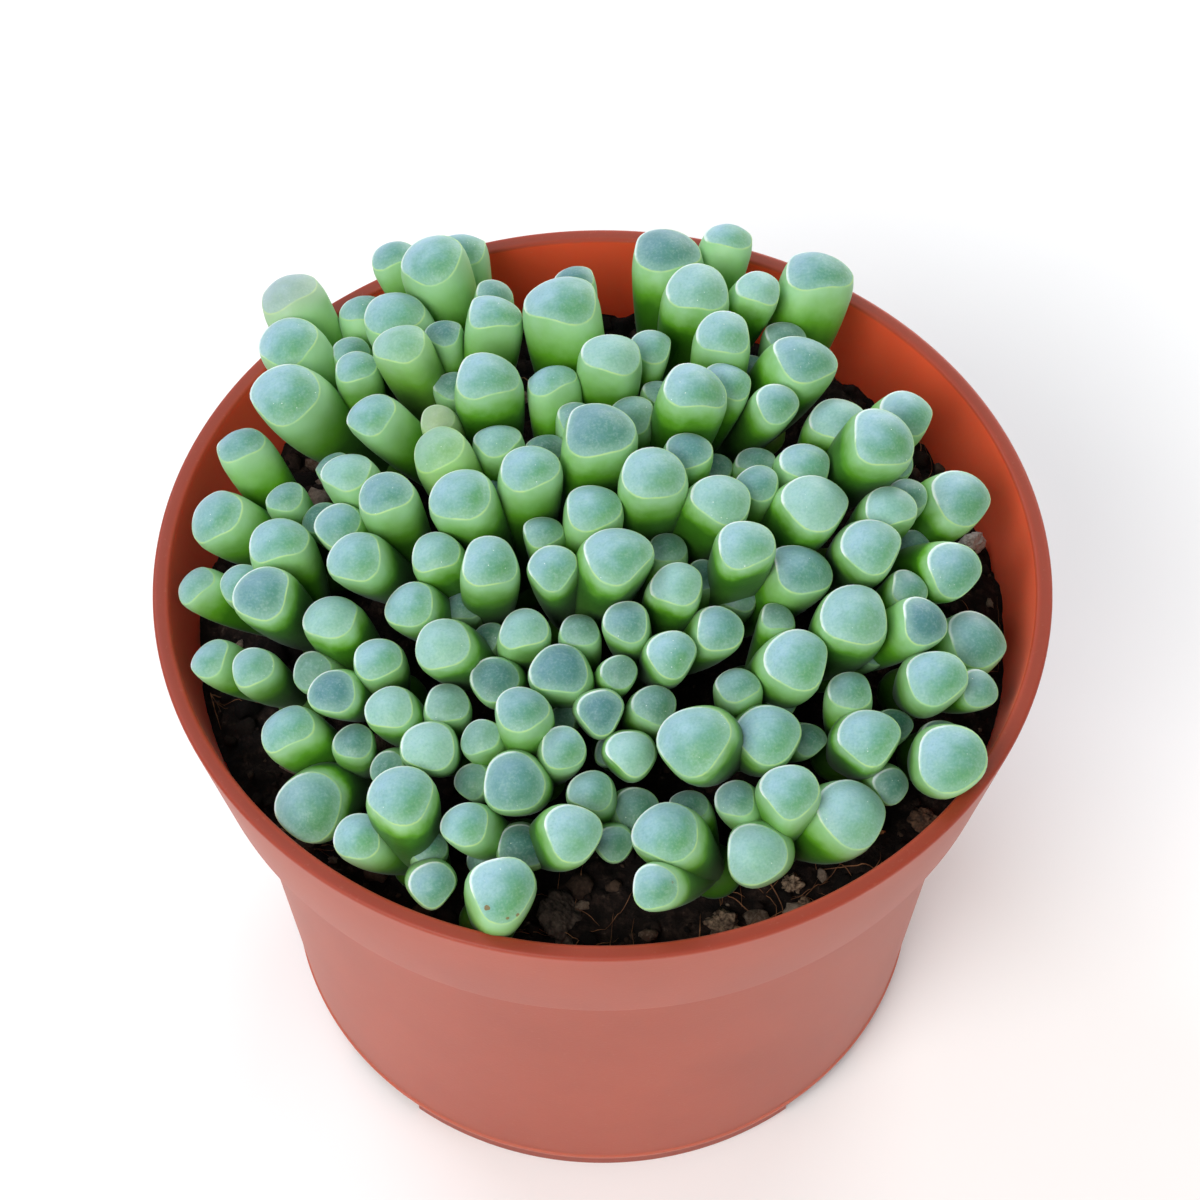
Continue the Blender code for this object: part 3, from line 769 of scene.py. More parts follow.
def leaf_material(spots):
    """Waxy skin: a window, a faint pale line round it with a painted highlight on its upper left, a painted
    white rim inside the window there, a frosted band, and a body that greens and darkens downwards, the
    darkening partly painted shade between the leaves.
    """
    looks = {
        "Roughness": 0.52,
        "Specular IOR Level": 0.4,
        "Subsurface Weight": 0.3,
        "Subsurface Radius": (0.7, 1.0, 0.3),
        "Subsurface Scale": 0.001,
        "Sheen Weight": 0.1,
        "Sheen Roughness": 0.4,
        "Sheen Tint": screen(225, 240, 245),
    }
    material, tree = new_material("leaf_skin", looks)
    wobble = maths(tree, "MULTIPLY_ADD", speckle(tree, 1.3), 0.2, -0.1)
    below = maths(tree, "ADD", field_of(tree, "from_crest"), wobble)
    tone = field_of(tree, "tone")
    young = field_of(tree, "young")
    patches = maths(tree, "MULTIPLY_ADD", speckle(tree, 2.4, 4.0), 3.0, -1.5)
    frosted = maths(tree, "DIVIDE", maths(tree, "ADD", below, patches), LEAF_DEPTH)
    # Pale frosted band under the crest, then green body; its darkening lower down is partly the leaf's own
    # green and partly painted shade between the leaves.
    body = ramp(
        tree,
        maths(tree, "MULTIPLY", frosted, field_of(tree, "waxy")),
        (0.0, 152, 200, 150),
        (0.1, 130, 185, 104),
        (0.2, 90, 156, 30),
        (0.3, 54, 114, 6),
        (0.5, 46, 100, 8),
        (1.0, 60, 112, 22),
    )
    window, slant = window_colour(tree, tone, young)
    skin = blend(tree, spread(tree, below, -0.22, 0.02, 1.0, 0.0), body, window)
    under_crest = spread(tree, below, -0.02, 0.11, 1.0, 0.0)
    line = maths(tree, "MULTIPLY", spread(tree, below, -0.16, -0.05), under_crest)
    line = maths(tree, "MULTIPLY", line, spread(tree, speckle(tree, 1.6, 3.0), 0.36, 0.6, 0.3, 1.0))
    # Painted highlight: the pale crest line is stronger and whiter towards the upper left, where the light
    # falls.
    strength = maths(tree, "MULTIPLY", line, spread(tree, slant, 0.1, 0.8, 0.6, 1.0))
    crest = blend(tree, spread(tree, slant, 0.0, 0.8), screen(186, 216, 134), screen(240, 250, 246))
    # Olive crest lines on small young leaves, and as painted shade on sunk ones.
    crest = blend(tree, young, crest, screen(120, 158, 84))
    skin = blend(tree, strength, skin, crest)
    # Painted highlight: a thin white rim just inside the window's edge, on its upper left.
    under_rim = spread(tree, below, -0.02, 0.1, 1.0, 0.0)
    rim_highlight = maths(tree, "MULTIPLY", spread(tree, below, -0.36, -0.1), under_rim)
    blush = maths(tree, "MULTIPLY", field_of(tree, "blush"), spread(tree, below, -1.0, 3.0, 1.0, 0.0))
    skin = coats(
        tree,
        skin,
        (maths(tree, "MULTIPLY", rim_highlight, spread(tree, slant, 0.3, 0.75, 0.0, 0.75)), 234, 247, 245),
        (field_of(tree, "yellow"), 174, 212, 106),
        (blush, 188, 184, 178),
    )
    for point, size in spots:
        inputs = {0: place(tree), 1: point * MM}
        away = add_node(tree, "ShaderNodeVectorMath", inputs, operation="DISTANCE").outputs["Value"]
        inward = maths(tree, "MULTIPLY", away, -1.0)
        ragged = maths(tree, "MULTIPLY_ADD", speckle(tree, 0.3), size * MM, inward)
        stain = spread(tree, ragged, -0.1 * MM, 0.02 * MM, 0.0, 0.85)
        skin = blend(tree, stain, skin, screen(122, 92, 38))
    return dress(material, skin, speckle(tree, 0.5, 4.0), 0.04, 0.6)


def pot_material():
    """Thin moulded plastic: matt, a little dusty, and glowing through where light comes from behind; its
    inner wall is painted brighter as glow, its lip's top painted darker as shade, with a painted shadow under
    the bead and a painted highlight on it.
    """
    looks = {
        "Roughness": 0.5,
        "Specular IOR Level": 0.4,
        "Subsurface Weight": 0.45,
        "Subsurface Radius": (1.0, 0.3, 0.12),
        "Subsurface Scale": 0.003,
        "Sheen Weight": 0.09,
        "Sheen Roughness": 0.45,
        "Sheen Tint": screen(250, 232, 226),
    }
    material, tree = new_material("pot_plastic", looks)
    cloudy = speckle(tree, 18, 4.0, 0.55)
    plastic = ramp(tree, cloudy, (0.3, 160, 72, 51), (0.7, 170, 79, 57))
    where = add_node(tree, "ShaderNodeSeparateXYZ", {0: place(tree)}).outputs
    across = maths(tree, "POWER", where[0], 2.0)
    reach = maths(tree, "SQRT", maths(tree, "MULTIPLY_ADD", where[1], where[1], across))
    flare = (RIM_RADIUS - COLLAR_RADIUS) / COLLAR_DEPTH
    outside = maths(tree, "MULTIPLY_ADD", where[2], flare, (RIM_RADIUS - POT_HEIGHT * flare) * MM)
    # Painted glow: the inner wall above the ledge is painted a brighter orange, for light shining through the
    # thin plastic.
    inset = maths(tree, "SUBTRACT", outside, reach)
    inside = spread(tree, inset, 1.2 * MM, 1.9 * MM)
    above = spread(tree, where[2], (collar_foot() + WALL) * MM, (collar_foot() + 2 * WALL) * MM)
    # Painted shade: the lip's top is painted darker.
    top = spread(tree, where[2], (POT_HEIGHT - LIP_ROUND) * MM, (POT_HEIGHT - 0.1) * MM, 0.0, 0.8)
    # Painted shadow: a dark band under the bead, where the wall meets the foot ring.
    foot = spread(tree, where[2], (FOOT_HEIGHT - 0.3) * MM, (FOOT_HEIGHT + 0.1) * MM, 0.45, 0.0)
    # Painted highlight: a pale line along the bead's bulge.
    off_highlight = maths(tree, "ABSOLUTE", maths(tree, "SUBTRACT", where[2], (FOOT_HEIGHT + HIGHLIGHT_RISE) * MM))
    plastic = coats(
        tree,
        plastic,
        (maths(tree, "MULTIPLY", inside, above), 226, 92, 54),
        (top, 142, 50, 26),
        (foot, 128, 46, 30),
        (spread(tree, off_highlight, 0.2 * MM, 0.5 * MM, 0.3, 0.0), 206, 126, 104),
        (spread(tree, speckle(tree, 0.6, 3.0, 0.7), 0.6, 0.75, 0.0, 0.12), 196, 134, 112),
    )
    return dress(material, plastic, speckle(tree, 0.4, 3.0), 0.03, 0.5)


def soil_material():
    material, tree = new_material("soil_dark", EARTHY)
    earth = ramp(
        tree,
        speckle(tree, 1.6, 6.0, 0.65),
        (0.34, 12, 9, 8),
        (0.52, 34, 25, 21),
        (0.64, 62, 48, 41),
        (0.78, 124, 110, 98),
    )
    return dress(material, earth, speckle(tree, 0.8, 6.0, 0.75), 1.0)


def crumb_material():
    """Crumbs from near black to grey-brown, by each crumb's own tone."""
    material, tree = new_material("soil_crumb", EARTHY)
    uneven = maths(tree, "MULTIPLY_ADD", speckle(tree, 0.5, 5.0, 0.7), 0.5, -0.25)
    earth = ramp(
        tree,
        maths(tree, "ADD", field_of(tree, "tone"), uneven),
        (0.0, 14, 10, 8),
        (0.5, 42, 31, 25),
        (0.8, 88, 70, 57),
        (1.0, 156, 140, 124),
    )
    return dress(material, earth, speckle(tree, 0.3, 5.0, 0.7), 0.3)


def grit_material(name, dark, light, pore):
    """Rough mineral or bark, mottled between two colours and pitted."""
    material, tree = new_material(name, {"Roughness": 0.9})
    mottled = ramp(tree, speckle(tree, pore * 2, 6.0, 0.65), (0.35, *dark), (0.65, *light))
    pits = add_node(tree, "ShaderNodeTexVoronoi", {"Vector": place(tree), "Scale": 1 / (pore * MM)})
    mottled = blend(tree, spread(tree, pits.outputs["Distance"], 0.0, 0.3, 0.6, 0.0), mottled, screen(*dark))
    return dress(material, mottled, pits.outputs["Distance"], pore * 0.5)


def fibre_material():
    material, tree = new_material("root_fibre", {"Roughness": 0.7})
    shade = ramp(tree, speckle(tree, 1.5), (0.3, 84, 50, 30), (0.7, 160, 112, 74))
    return dress(material, shade, speckle(tree, 0.2), 0.03)


def floor_material():
    material, tree = new_material("floor_white", {"Roughness": 0.9})
    shade = ramp(tree, speckle(tree, 60.0), (0.3, 250, 250, 250), (0.7, 253, 253, 253))
    return dress(material, shade)


# ---- pot ----


def collar_foot():
    return POT_HEIGHT - COLLAR_DEPTH


def wall_radius(height):
    """Outside radius of the tapering wall under the collar."""
    share = (height - FOOT_HEIGHT) / (collar_foot() - FOOT_HEIGHT)
    return BASE_RADIUS + share * (COLLAR_RADIUS - LEDGE_WIDTH - BASE_RADIUS)


def rounded(corners):
    """An outline with each (radius, height, round) corner turned into a short arc."""
    points = []
    for index, (radius, height, size) in enumerate(corners):
        corner = np.array((radius, height))
        if not size:
            points.append(corner)
            continue
        before, after = (unit(np.array(corners[index + side][:2]) - corner) for side in (-1, 1))
        start, end = corner + before * size, corner + after * size
        for step in range(ARC_STEPS + 1):
            share = step / ARC_STEPS
            points.append((1 - share) ** 2 * start + 2 * share * (1 - share) * corner + share**2 * end)
    return points


def pot_corners():
    floor = FOOT_HEIGHT + FLOOR
    ledge = collar_foot() + WALL
    foot_inside = FOOT_RADIUS - FOOT_WALL
    bead = FOOT_HEIGHT + BEAD_RISE
    return [
        (0, floor, 0),
        (wall_radius(floor) - WALL, floor, 1.0),
        (wall_radius(ledge) - WALL, ledge, 0.4),
        (STEP_INSIDE, ledge + LIP_ROUND, 0.4),
        (RIM_RADIUS - LIP_WIDTH, POT_HEIGHT, LIP_ROUND),
        (RIM_RADIUS, POT_HEIGHT, LIP_ROUND * 1.3),
        (COLLAR_RADIUS, collar_foot(), 0.5),
        (wall_radius(collar_foot()), collar_foot(), 0.3),
        (wall_radius(bead), bead, 0.1),
        (wall_radius(bead) + BEAD, bead - BEAD, 0.1),
        (BASE_RADIUS + BEAD, FOOT_HEIGHT, 0.2),
        (FOOT_RADIUS, FOOT_HEIGHT - 0.1, 0.1),
        (FOOT_RADIUS, 0, 0.35),
        (foot_inside, 0, 0.3),
        (foot_inside, FOOT_HEIGHT, 0.3),
        (0, FOOT_HEIGHT, 0),
    ]


def turned(outline, steps, reverse=False):
    """A closed turned mesh from an outline that starts and ends on the axis."""
    angles = np.arange(steps) * FULL_TURN / steps
    points = [(0, 0, outline[0][1])]
    for radius, height in outline[1:-1]:
        points.extend(zip(radius * np.cos(angles), radius * np.sin(angles), np.full(steps, height)))
    points.append((0, 0, outline[-1][1]))
    faces = ball_faces(len(outline) - 2, steps)
    return points, [face[::-1] for face in faces] if reverse else faces


def cutter(name, bm, angle, from_axis, height):
    bmesh.ops.translate(bm, vec=Vector((from_axis, 0, height)), verts=bm.verts)
    bmesh.ops.rotate(bm, matrix=Matrix.Rotation(math.radians(angle), 3, "Z"), verts=bm.verts)
    bmesh.ops.scale(bm, vec=Vector((MM, MM, MM)), verts=bm.verts)
    mesh = bpy.data.meshes.new(name)
    bm.to_mesh(mesh)
    bm.free()
    return new_object(name, mesh)


def notch(angle):
    bm = bmesh.new()
    bmesh.ops.create_cube(bm, size=1)
    size = Vector((4 * FOOT_WALL, NOTCH_WIDTH, 2 * NOTCH_HEIGHT))
    bmesh.ops.scale(bm, vec=size, verts=bm.verts)
    return cutter(f"notch_{angle}", bm, angle, FOOT_RADIUS, 0)


def drain(angle):
    bm = bmesh.new()
    sizes = {"segments": DRAIN_SEGMENTS, "radius1": DRAIN_RADIUS, "radius2": DRAIN_RADIUS, "depth": DRAIN_CUT}
    bmesh.ops.create_cone(bm, cap_ends=True, **sizes)
    return cutter(f"drain_{angle}", bm, angle, DRAIN_FROM_AXIS, FOOT_HEIGHT)


def make_pot():
    shells = Shells()
    shells.add(*turned(rounded(pot_corners()), POT_STEPS, reverse=True))
    pot = make_piece("pot_moulded", shells, pot_material(), "pot", "pot")
    tools = [make(angle) for angle in NOTCH_ANGLES for make in (notch, drain)]
    for tool in tools:
        cut = pot.modifiers.new(tool.name, "BOOLEAN")
        cut.operation = "DIFFERENCE"
        cut.solver = "EXACT"
        cut.object = tool
    bpy.context.view_layer.update()
    done = bpy.data.meshes.new_from_object(pot.evaluated_get(bpy.context.evaluated_depsgraph_get()))
    pot.modifiers.clear()
    pot.data = done
    done.name = "pot_moulded"
    done.set_sharp_from_angle(angle=SHARP_ANGLE)
    for tool in tools:
        bpy.data.objects.remove(tool)


# ---- soil, crumbs and fibres ----

# The soil: its humps' widths and heights, how far it has settled, its edge and its gap to the pot.
SOIL_LUMPS = ((8.0, 1.2), (3.1, 1.0), (1.4, 0.7), (0.7, 0.35))
SOIL_SETTLED = 0.7
SOIL_EDGE = 48.0
EDGE_SLOPE = 2.5
EDGE_DROP = 1.2
SOIL_CLEARANCE = 0.3
SOIL_RINGS = 110
SOIL_STEPS = 380

# Crumbs: how many are tried, how far out they lie, and their sizes.
CRUMB_COUNT = 1300
CRUMB_REACH = 47.0
SMALLEST_CRUMB = 0.5
CRUMB_RANGE = 3.2
CRUMB_ROUGHNESS = 0.65
CRUMB_HEIGHT = 0.75

# Fibres: a step along them, where they turn back from the edge, how much they bend, and their ends' width.
FIBRE_STEP = 0.45
FIBRE_EDGE = SOIL_EDGE - 0.8
FIBRE_WANDER = 0.05
FIBRE_END = 0.35


def soil_height(x, y):
    """Height of the rough soil at a place, in millimetres."""
    spot = Vector((x, y, 0))
    rise = sum(height * noise.noise(spot / width) for width, height in SOIL_LUMPS)
    return SOIL_HEIGHT - SOIL_SETTLED + rise


def make_soil():
    """A closed body of soil with a rough top, filling the pot down to its floor."""
    ledge = collar_foot() + WALL + SOIL_CLEARANCE
    floor = FOOT_HEIGHT + FLOOR + SOIL_CLEARANCE
    below = [
        (wall_radius(floor) - WALL - SOIL_CLEARANCE, floor),
        (wall_radius(ledge) - WALL - SOIL_CLEARANCE, ledge),
        (STEP_INSIDE - SOIL_CLEARANCE, ledge + LIP_ROUND),
    ]
    top = [(SOIL_EDGE * (1 - ring / SOIL_RINGS), 0) for ring in range(SOIL_RINGS)]
    points, faces = turned([(0, floor), *below, *top, (0, 0)], SOIL_STEPS)
    points = np.array(points)
    first = 1 + len(below) * SOIL_STEPS
    for point in points[first:]:
        reach = math.hypot(point[0], point[1])
        drop = EDGE_DROP * ease(reach, SOIL_EDGE - EDGE_SLOPE, SOIL_EDGE)
        point[2] = soil_height(point[0], point[1]) - drop
    shells = Shells()
    shells.add(points, faces)
    make_piece("soil_rough", shells, soil_material(), "soil", "soil")


def add_ball(shells, detail, radius, moved, **fields):
    """A ball of small triangles, each of its points put where a rule moves it."""
    bm = bmesh.new()
    bmesh.ops.create_icosphere(bm, subdivisions=detail, radius=radius)
    bm.verts.index_update()
    points = [moved(vert.co) for vert in bm.verts]
    faces = [tuple(vert.index for vert in face.verts) for face in bm.faces]
    bm.free()
    shells.add(points, faces, **fields)


def turned_and_tipped(turn, tip):
    """A turn about the upright, after a tip about the cross axis, in radians."""
    return Matrix.Rotation(turn, 3, "Z") @ Matrix.Rotation(tip, 3, "X")


def lump(shells, rng, centre, size, height, detail, rough, **fields):
    """One rough closed lump."""
    shift = Vector((rng.uniform(0, 50), rng.uniform(0, 50), rng.uniform(0, 50)))
    turn = turned_and_tipped(rng.uniform(0, FULL_TURN), rng.uniform(-0.5, 0.5))
    stretch = Vector((1, rng.uniform(0.65, 0.95), height))

    def moved(point):
        swell = 1 + rough * (noise.noise(point * 1.6 + shift) + 0.6 * noise.noise(point * 4.5 + shift))
        return Vector(centre) + turn @ (point * swell * stretch) * size / 2

    add_ball(shells, detail, 1, moved, **fields)


def make_crumbs(crowns):
    rng = random.Random(11)
    shells = Shells()
    for _ in range(CRUMB_COUNT):
        reach = CRUMB_REACH * math.sqrt(rng.random())
        turn = rng.uniform(0, FULL_TURN)
        x, y = reach * math.cos(turn), reach * math.sin(turn)
        size = SMALLEST_CRUMB + CRUMB_RANGE * rng.random() ** 3
        tone = rng.random() ** 1.6
        clear = min(math.dist((x, y), crown[:2]) for crown in crowns) > CROWN_RADIUS + size / 2
        if clear and reach + size / 2 < SOIL_EDGE:
            centre = (x, y, soil_height(x, y) + 0.1 * size)
            lump(shells, rng, centre, size, CRUMB_HEIGHT, 2, CRUMB_ROUGHNESS, tone=tone)
    make_piece("soil_crumbs", shells, crumb_material(), "soil")


def tube(shells, path, radius, sides=6):
    """A closed thin tube along a path, tapering at both ends."""
    path = np.array(path)
    ahead = np.gradient(path, axis=0)
    angles = np.arange(sides) * FULL_TURN / sides
    rings = []
    for index, point in enumerate(path):
        share = index / (len(path) - 1)
        size = radius * (FIBRE_END + (1 - FIBRE_END) * math.sin(math.pi * min(max(share, 0.05), 0.95)))
        side = unit(np.cross(ahead[index], (0.3, 0.2, 1)))
        up = unit(np.cross(side, ahead[index]))
        rings.extend(point + size * (math.cos(a) * side + math.sin(a) * up) for a in angles)
    points = [path[0], *rings, path[-1]]
    shells.add(points, ball_faces(len(path), sides))


def curl(rng, x, y, length, heading):
    """The path of a curly fibre that lies on the soil and lifts off it here and there."""
    steps = max(int(length / FIBRE_STEP), 6)
    bend = rng.uniform(-0.03, 0.03)
    lift = rng.uniform(0.1, 1.0)
    path = []
    for step in range(steps):
        share = step / (steps - 1)
        reach = math.hypot(x, y)
        if reach > FIBRE_EDGE:
            x, y = x * FIBRE_EDGE / reach, y * FIBRE_EDGE / reach
            heading += 0.25
        path.append((x, y, soil_height(x, y) + 0.12 + lift * math.sin(math.pi * share)))
        bend = 0.82 * bend + rng.gauss(0, FIBRE_WANDER)
        heading += bend
        x += FIBRE_STEP * math.cos(heading)
        y += FIBRE_STEP * math.sin(heading)
    return path


# Where fibres start: right of the axis, behind it, how far they are spread, and how many.
FIBRE_BEDS = (
    (16, -41, 7, 20),
    (0, -43, 6, 10),
    (27, -36, 5, 8),
    (-30, -33, 5, 7),
    (44, -2, 4, 6),
    (38, 26, 6, 6),
    (-12, 44, 10, 6),
    (-44, -12, 4, 5),
)


def make_fibres():
    rng = random.Random(5)
    shells = Shells()
    for x, y, apart, count in FIBRE_BEDS:
        for _ in range(count):
            start = (rng.gauss(x, apart / 2), rng.gauss(y, apart / 3))
            path = curl(rng, *start, rng.uniform(4, 14), rng.uniform(0, FULL_TURN))
            tube(shells, path, rng.uniform(0.03, 0.08))
    make_piece("root_fibres", shells, fibre_material(), "crumb")


# Scraps of dry leaf sheath: right of the axis, behind it, width, and which way each faces.
HUSKS = (
    (-23.0, -31.0, 3.6, -60),
    (-33.5, 9.0, 3.4, 20),
    (-8.0, -37.5, 2.4, 80),
    (31.0, -30.0, 2.6, -20),
)
HUSK_STRETCH = Vector((1, 0.16, 1.15))
HUSK_CURL = 0.5


def make_husks():
    """Thin curled scraps that stand on edge between the leaves."""
    rng = random.Random(8)
    shells = Shells()
    for x, y, width, facing in HUSKS:
        turn = turned_and_tipped(math.radians(facing), rng.uniform(0.2, 0.6))
        foot = Vector((x, y, soil_height(x, y) + width * 0.35))

        def moved(point):
            ragged = 1 + 0.35 * noise.noise(point * 0.9 + Vector((x, y, 0)))
            flat = point * HUSK_STRETCH * ragged
            flat.y += HUSK_CURL * flat.x**2 / width
            return foot + turn @ flat

        add_ball(shells, 4, width / 2, moved)
    material = grit_material("husk_skin", (128, 74, 36), (206, 146, 90), 0.5)
    make_piece("dry_husks", shells, material, "crumb")


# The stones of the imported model: colours dark and light, pore size, roughness of outline.
STONE_LOOKS = {
    "pumice_stone": ((168, 160, 150), (226, 222, 214), 0.35, 0.25),
    "soil_lump": ((34, 26, 22), (96, 82, 72), 0.6, 0.5),
    "pale_grit_1": ((58, 44, 34), (140, 118, 96), 0.4, 0.8),
    "pale_grit_2": ((70, 54, 42), (160, 138, 114), 0.4, 0.8),
    "pale_grit_3": ((64, 48, 38), (150, 124, 100), 0.4, 0.8),
    "bark_crumb": ((52, 36, 28), (118, 88, 66), 0.5, 0.45),
}


def make_stones():
    rng = random.Random(3)
    for name, (dark, light, pore, rough) in STONE_LOOKS.items():
        low, high = (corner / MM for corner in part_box(name))
        middle = (low + high) / 2
        size = max(high.x - low.x, high.y - low.y)
        shells = Shells()
        centre = (middle.x, middle.y, soil_height(middle.x, middle.y) + (high.z - low.z) * 0.3)
        lump(shells, rng, centre, size, (high.z - low.z) / size * 1.1, 4, rough)
        material = grit_material(f"{name}_skin", dark, light, pore)
        slot = "crumb" if name == "bark_crumb" else "stone"
        make_piece(f"{name}_rough", shells, material, slot, name)


# ---- leaves ----

# How fast the frosted band turns green at the front, and how much slower it does at the back left.
BARE_FRONT = 1.45
FROSTED_BACK = 0.85


def leaf_traits(rng, tip):
    """A leaf's own shape: which sides are flat, how its window leans, and its colour."""
    corner = math.radians(-90 + rng.uniform(-50, 50))
    sides = [
        (corner + math.radians(rng.uniform(48, 66)), rng.uniform(0.81, 1.0)),
        (corner - math.radians(rng.uniform(48, 66)), rng.uniform(0.81, 1.0)),
        (corner + math.radians(180 + rng.uniform(-25, 25)), rng.uniform(0.93, 1.05)),
    ]
    lean = np.array((rng.gauss(-0.02, 0.09), rng.gauss(0, 0.08), 0))
    shaded = ease(tip[1] - 0.5 * tip[0], -5, 45)
    return {
        "sides": sides,
        "lean": lean,
        "tone": rng.random(),
        "waxy": (0.7 + 1.1 * rng.random() ** 1.5) * (BARE_FRONT - FROSTED_BACK * shaded),
        "wave": rng.uniform(0, FULL_TURN),
    }


def section(angles, sides, strength):
    """The leaf's radius round its axis: a circle whose sides are flattened, with its mean kept."""
    total = 1
    for turn, reach in sides:
        total = total + strength * (np.maximum(np.cos(angles - turn), 0) / reach) ** FACET_POWER
    radius = total ** (-1 / FACET_POWER)
    return radius / radius.mean()


# Brown marks on windows: head, leaf, place right and up from the window's middle in radii, width.
SPOTS = (
    ("front_11", 0, -0.42, -0.52, 0.6),
    ("front_11", 0, 0.18, -0.8, 0.35),
    ("front_11", 0, 0.46, -0.7, 0.35),
    ("front_7", 1, 0.78, 0.14, 0.33),
    ("front_7", 1, 0.80, -0.06, 0.33),
)

# Leaves that are turning yellow, have a greyish blush, or lean their window further forward.
FRONT_LEAN = np.array((0.1, -0.5, 0))
ODD_LEAVES = {
    ("back_left_1", 0): {"blush": 0.35},
    ("middle_1", 0): {"yellow": 0.3},
    ("back_left_4", 2): {"yellow": 0.4, "blush": 0.3},
    ("back_left_3", 1): {"yellow": 0.15},
    ("front_11", 0): {"lean": FRONT_LEAN},
}

# The direction, on the ground, in which windows turn from green to blue-grey: painted light from the upper
# left, with painted shade away from it.
PAINTED_LIGHT_SIDE = unit((-0.75, 0.6, 0.3))


def window_plane(root, tip, radius, lean):
    """Where a leaf's crest sits along it, the crest's middle, and the way its window faces."""
    crest_t = 1 - WINDOW_DOME * radius / np.linalg.norm(tip - root)
    end = unit(along_leaf(root, tip, 1) - along_leaf(root, tip, 0.96))
    faces_to = unit(end * (1 - WINDOW_UPRIGHT) + np.array((0, 0, WINDOW_UPRIGHT)) + lean)
    return crest_t, along_leaf(root, tip, crest_t), faces_to


def spot_places(plan):
    """Points on the windows where SPOTS lie, each with its size."""
    leaves_of = {name: (root, leaves) for name, root, leaves in plan}
    spots = []
    for name, number, right, up, size in SPOTS:
        root, leaves = leaves_of[name]
        tip, radius = leaves[number]
        lean = ODD_LEAVES.get((name, number), {}).get("lean", 0)
        _, crest, faces_to = window_plane(root, tip, radius, lean)
        rise = WINDOW_DOME * (1 - (math.hypot(right, up) / CREST_SHARE) ** WINDOW_POWER)
        spots.append((crest + radius * turn_from_up(faces_to) @ (right, up, rise), size))
    return spots


def leaf_shell(shells, root, tip, radius, traits):
    """A leaf as one closed shell: body rings up to the crest, then window rings in to the apex."""
    angles = np.arange(SEGMENTS) * FULL_TURN / SEGMENTS
    length = np.linalg.norm(tip - root)
    crest_t, crest, faces_to = window_plane(root, tip, radius, traits["lean"])
    widest = crest_t - SHOULDER * radius / length
    wave = WAVE * np.cos(2 * angles + traits["wave"])

    low = widest * np.linspace(0.02, 1, BODY_RINGS, endpoint=False)
    shoulder = crest_t - (crest_t - widest) * np.linspace(1, 0, SHOULDER_RINGS, endpoint=False) ** 1.4
    rows = []
    for t in (*low, *shoulder, crest_t):
        below = (crest_t - t) * length / radius
        narrowing = (1 - CREST_SHARE) * max(1 - below / SHOULDER, 0) ** SHOULDER_POWER
        outline = section(angles, traits["sides"], ease(t / crest_t, 0.25, 0.85))
        near = ease(-below, -1.6, 0)
        ahead = unit(along_leaf(root, tip, t + 0.01) - along_leaf(root, tip, t - 0.01))
        frame = turn_from_up(unit(ahead * (1 - near) + faces_to * near))
        share = swelling(t, widest) * (1 - narrowing)
        ridge = RIDGE * (t == crest_t)
        lift = near * (wave - CORNER_DROP * (outline - 1)) + ridge
        rows.append((along_leaf(root, tip, t), frame, share * outline, lift, below))
    frame = turn_from_up(faces_to)
    outline = section(angles, traits["sides"], 1)
    for inward in np.linspace(0, 1, WINDOW_RINGS + 1, endpoint=False)[1:] ** 1.3:
        out = 1 - inward
        rise = WINDOW_DOME * (1 - out**WINDOW_POWER)
        lift = out**2 * (wave - CORNER_DROP * (outline - 1)) + rise
        rows.append((crest, frame, CREST_SHARE * out * outline, lift, -inward * CREST_SHARE))

    points, depth = [along_leaf(root, tip, 0)], [length / radius]
    for centre, frame, reach, lift, below in rows:
        local = np.stack([reach * np.cos(angles), reach * np.sin(angles), lift + 0 * angles], axis=1)
        points.extend(centre + radius * local @ frame.T)
        depth.extend([below] * SEGMENTS)
    points.append(crest + radius * WINDOW_DOME * faces_to)
    depth.append(-CREST_SHARE)
    points = np.array(points)
    # How far each point lies towards the lit upper left, which sets the painted light on windows and crests.
    slant = (points - crest) @ PAINTED_LIGHT_SIDE / radius
    sunk = dome_height(tip[0], tip[1]) + POT_HEIGHT - tip[2]
    # Small young leaves are darker, and leaves sunk below the others get painted shade: darker green windows
    # and olive crest lines.
    young = max(ease(-radius, -3.0, -2.0), 0.9 * ease(sunk, 0.5, 3.0))
    faces = ball_faces(len(rows), SEGMENTS)
    fields = {field: traits.get(field, 0.0) for field in ("tone", "waxy", "yellow", "blush")}
    shells.add(points, faces, from_crest=np.array(depth) * radius, slant=slant, young=young, **fields)


def crown_shell(shells, root):
    """The fleshy base that a head's leaves grow from."""
    rises = -np.cos(np.linspace(0, math.pi, CROWN_RINGS + 2))
    outline = [(CROWN_RADIUS * math.sqrt(max(1 - rise**2, 0)), CROWN_HEIGHT * rise) for rise in rises]
    points, faces = turned(outline, CROWN_SEGMENTS)
    fields = {"tone": 0.5, "waxy": 1.0, "yellow": 0.0, "blush": 0.0, "young": 0.0}
    shells.add(np.array(points) + root, faces, from_crest=LEAF_DEPTH, slant=0.0, **fields)


def make_heads():
    rng = random.Random(21)
    plan = plan_leaves()
    material = leaf_material(spot_places(plan))
    crowns = []
    for name, root, leaves in plan:
        shells = Shells()
        crown_shell(shells, root)
        for number, (tip, radius) in enumerate(leaves):
            traits = leaf_traits(rng, tip) | ODD_LEAVES.get((name, number), {})
            leaf_shell(shells, root, tip, radius, traits)
        make_piece(f"leaves_{name}", shells, material, "leaf", f"head_{name}")
        crowns.append(root)
    return crowns


# ---- floor, light and camera ----

FLOOR_HALF = 1500
CAMERA_DISTANCE = 420.0
CAMERA_ELEVATION = math.radians(54.05)
CAMERA_LENS = 108.0
AIM_DOWN = math.radians(0.51)
AIM_LEFT = math.radians(0.04)
WORLD_STRENGTH = 0.36

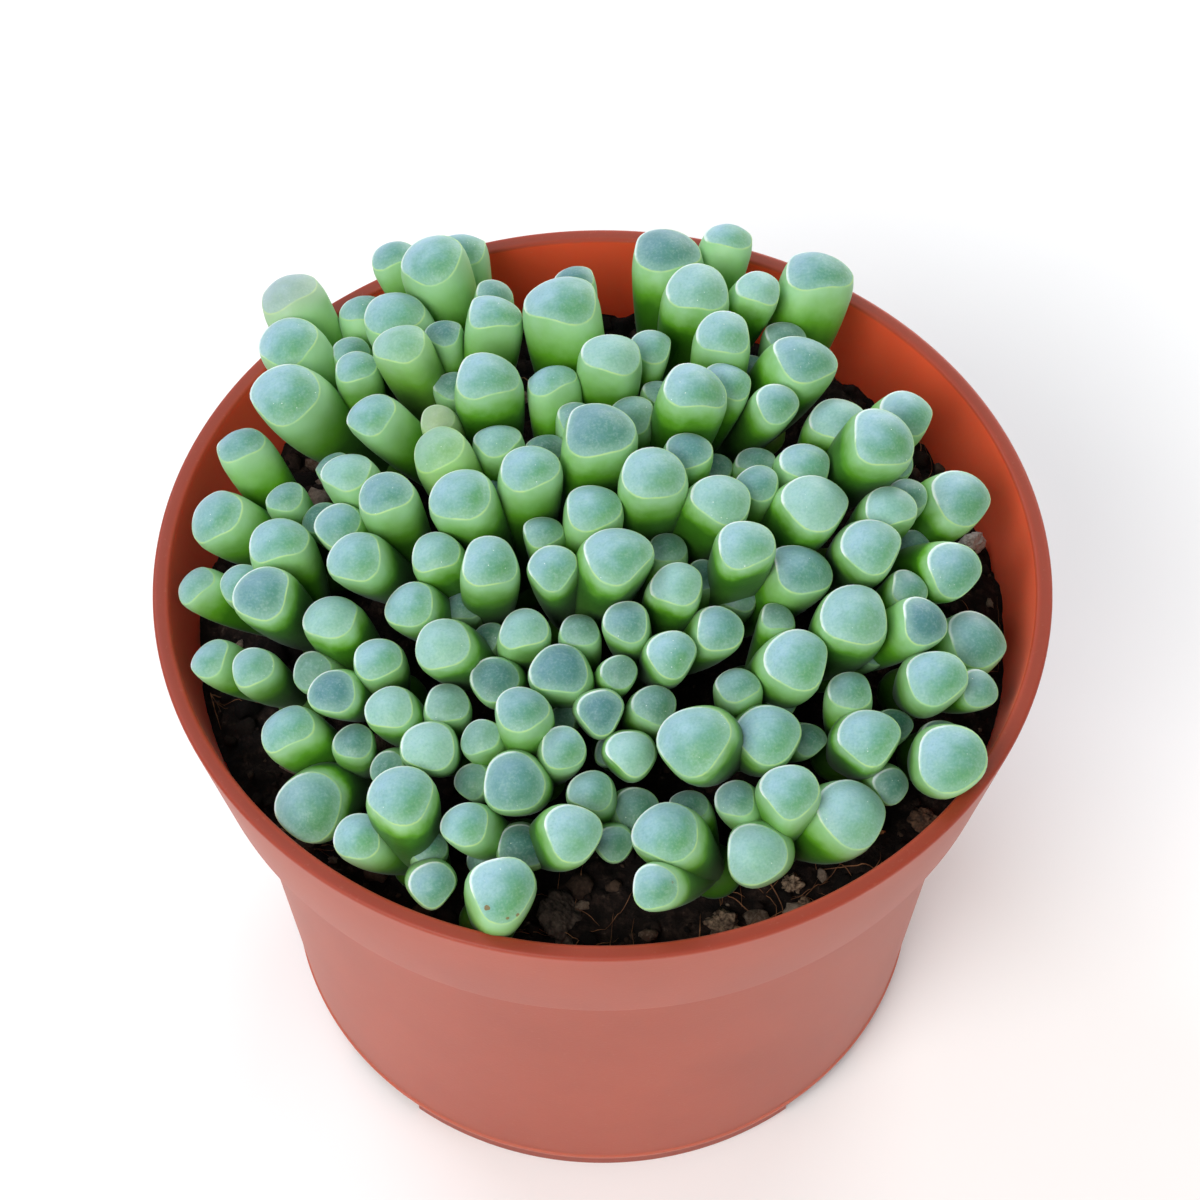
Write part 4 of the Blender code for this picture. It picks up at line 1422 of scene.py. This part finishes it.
# Lights: where each stands and how wide it is, in millimetres, and its power and tint.
LIGHTS = {
    "key": ((-306, -520, 660), 480, 5.35, (1, 0.98, 0.95)),
    "sky": ((-420, 420, 700), 420, 2.4, (0.80, 0.90, 1)),
    "back": ((260, 620, 240), 500, 2.8, (1, 0.98, 0.95)),
    "fill": ((540, -420, 380), 560, 0.9, (0.96, 0.99, 1)),
}


def make_floor():
    shells = Shells()
    corners = [(FLOOR_HALF * x, FLOOR_HALF * y, 0) for x, y in ((-1, -1), (1, -1), (1, 1), (-1, 1))]
    shells.add(corners, [(0, 1, 2, 3)])
    mesh = shells.mesh("floor")
    mesh.materials.append(floor_material())
    new_object("floor", mesh)


def make_light(name, place_mm, size, power, tint):
    data = bpy.data.lights.new(name, "AREA")
    data.shape = "DISK"
    data.size = size * MM
    data.energy = power
    data.color = tint
    light = new_object(name, data)
    light.location = Vector(place_mm) * MM
    aim = Vector((0, 0, POT_HEIGHT)) * MM - light.location
    light.rotation_euler = aim.to_track_quat("-Z", "Y").to_euler()


def make_lighting():
    world = bpy.data.worlds.new("studio")
    world.use_nodes = True
    background = world.node_tree.nodes["Background"]
    background.inputs["Color"].default_value = (0.96, 0.98, 1, 1)
    background.inputs["Strength"].default_value = WORLD_STRENGTH
    bpy.context.scene.world = world
    for name, light in LIGHTS.items():
        make_light(name, *light)


def make_camera():
    data = bpy.data.cameras.new("camera")
    data.sensor_width = 36
    data.lens = CAMERA_LENS
    camera = new_object("camera", data)
    back = Vector((0, -math.cos(CAMERA_ELEVATION), math.sin(CAMERA_ELEVATION)))
    camera.location = (Vector((0, 0, POT_HEIGHT)) + back * CAMERA_DISTANCE) * MM
    aim = (-back).to_track_quat("-Z", "Y").to_matrix()
    nudge = Matrix.Rotation(-AIM_DOWN, 3, "X") @ Matrix.Rotation(AIM_LEFT, 3, "Y")
    camera.rotation_euler = (aim @ nudge).to_euler()
    bpy.context.scene.camera = camera


def main():
    make_camera()
    make_floor()
    make_lighting()
    make_pot()
    make_soil()
    crowns = make_heads()
    make_crumbs(crowns)
    make_fibres()
    make_husks()
    make_stones()
    bpy.context.scene.view_settings.view_transform = "Standard"


main()
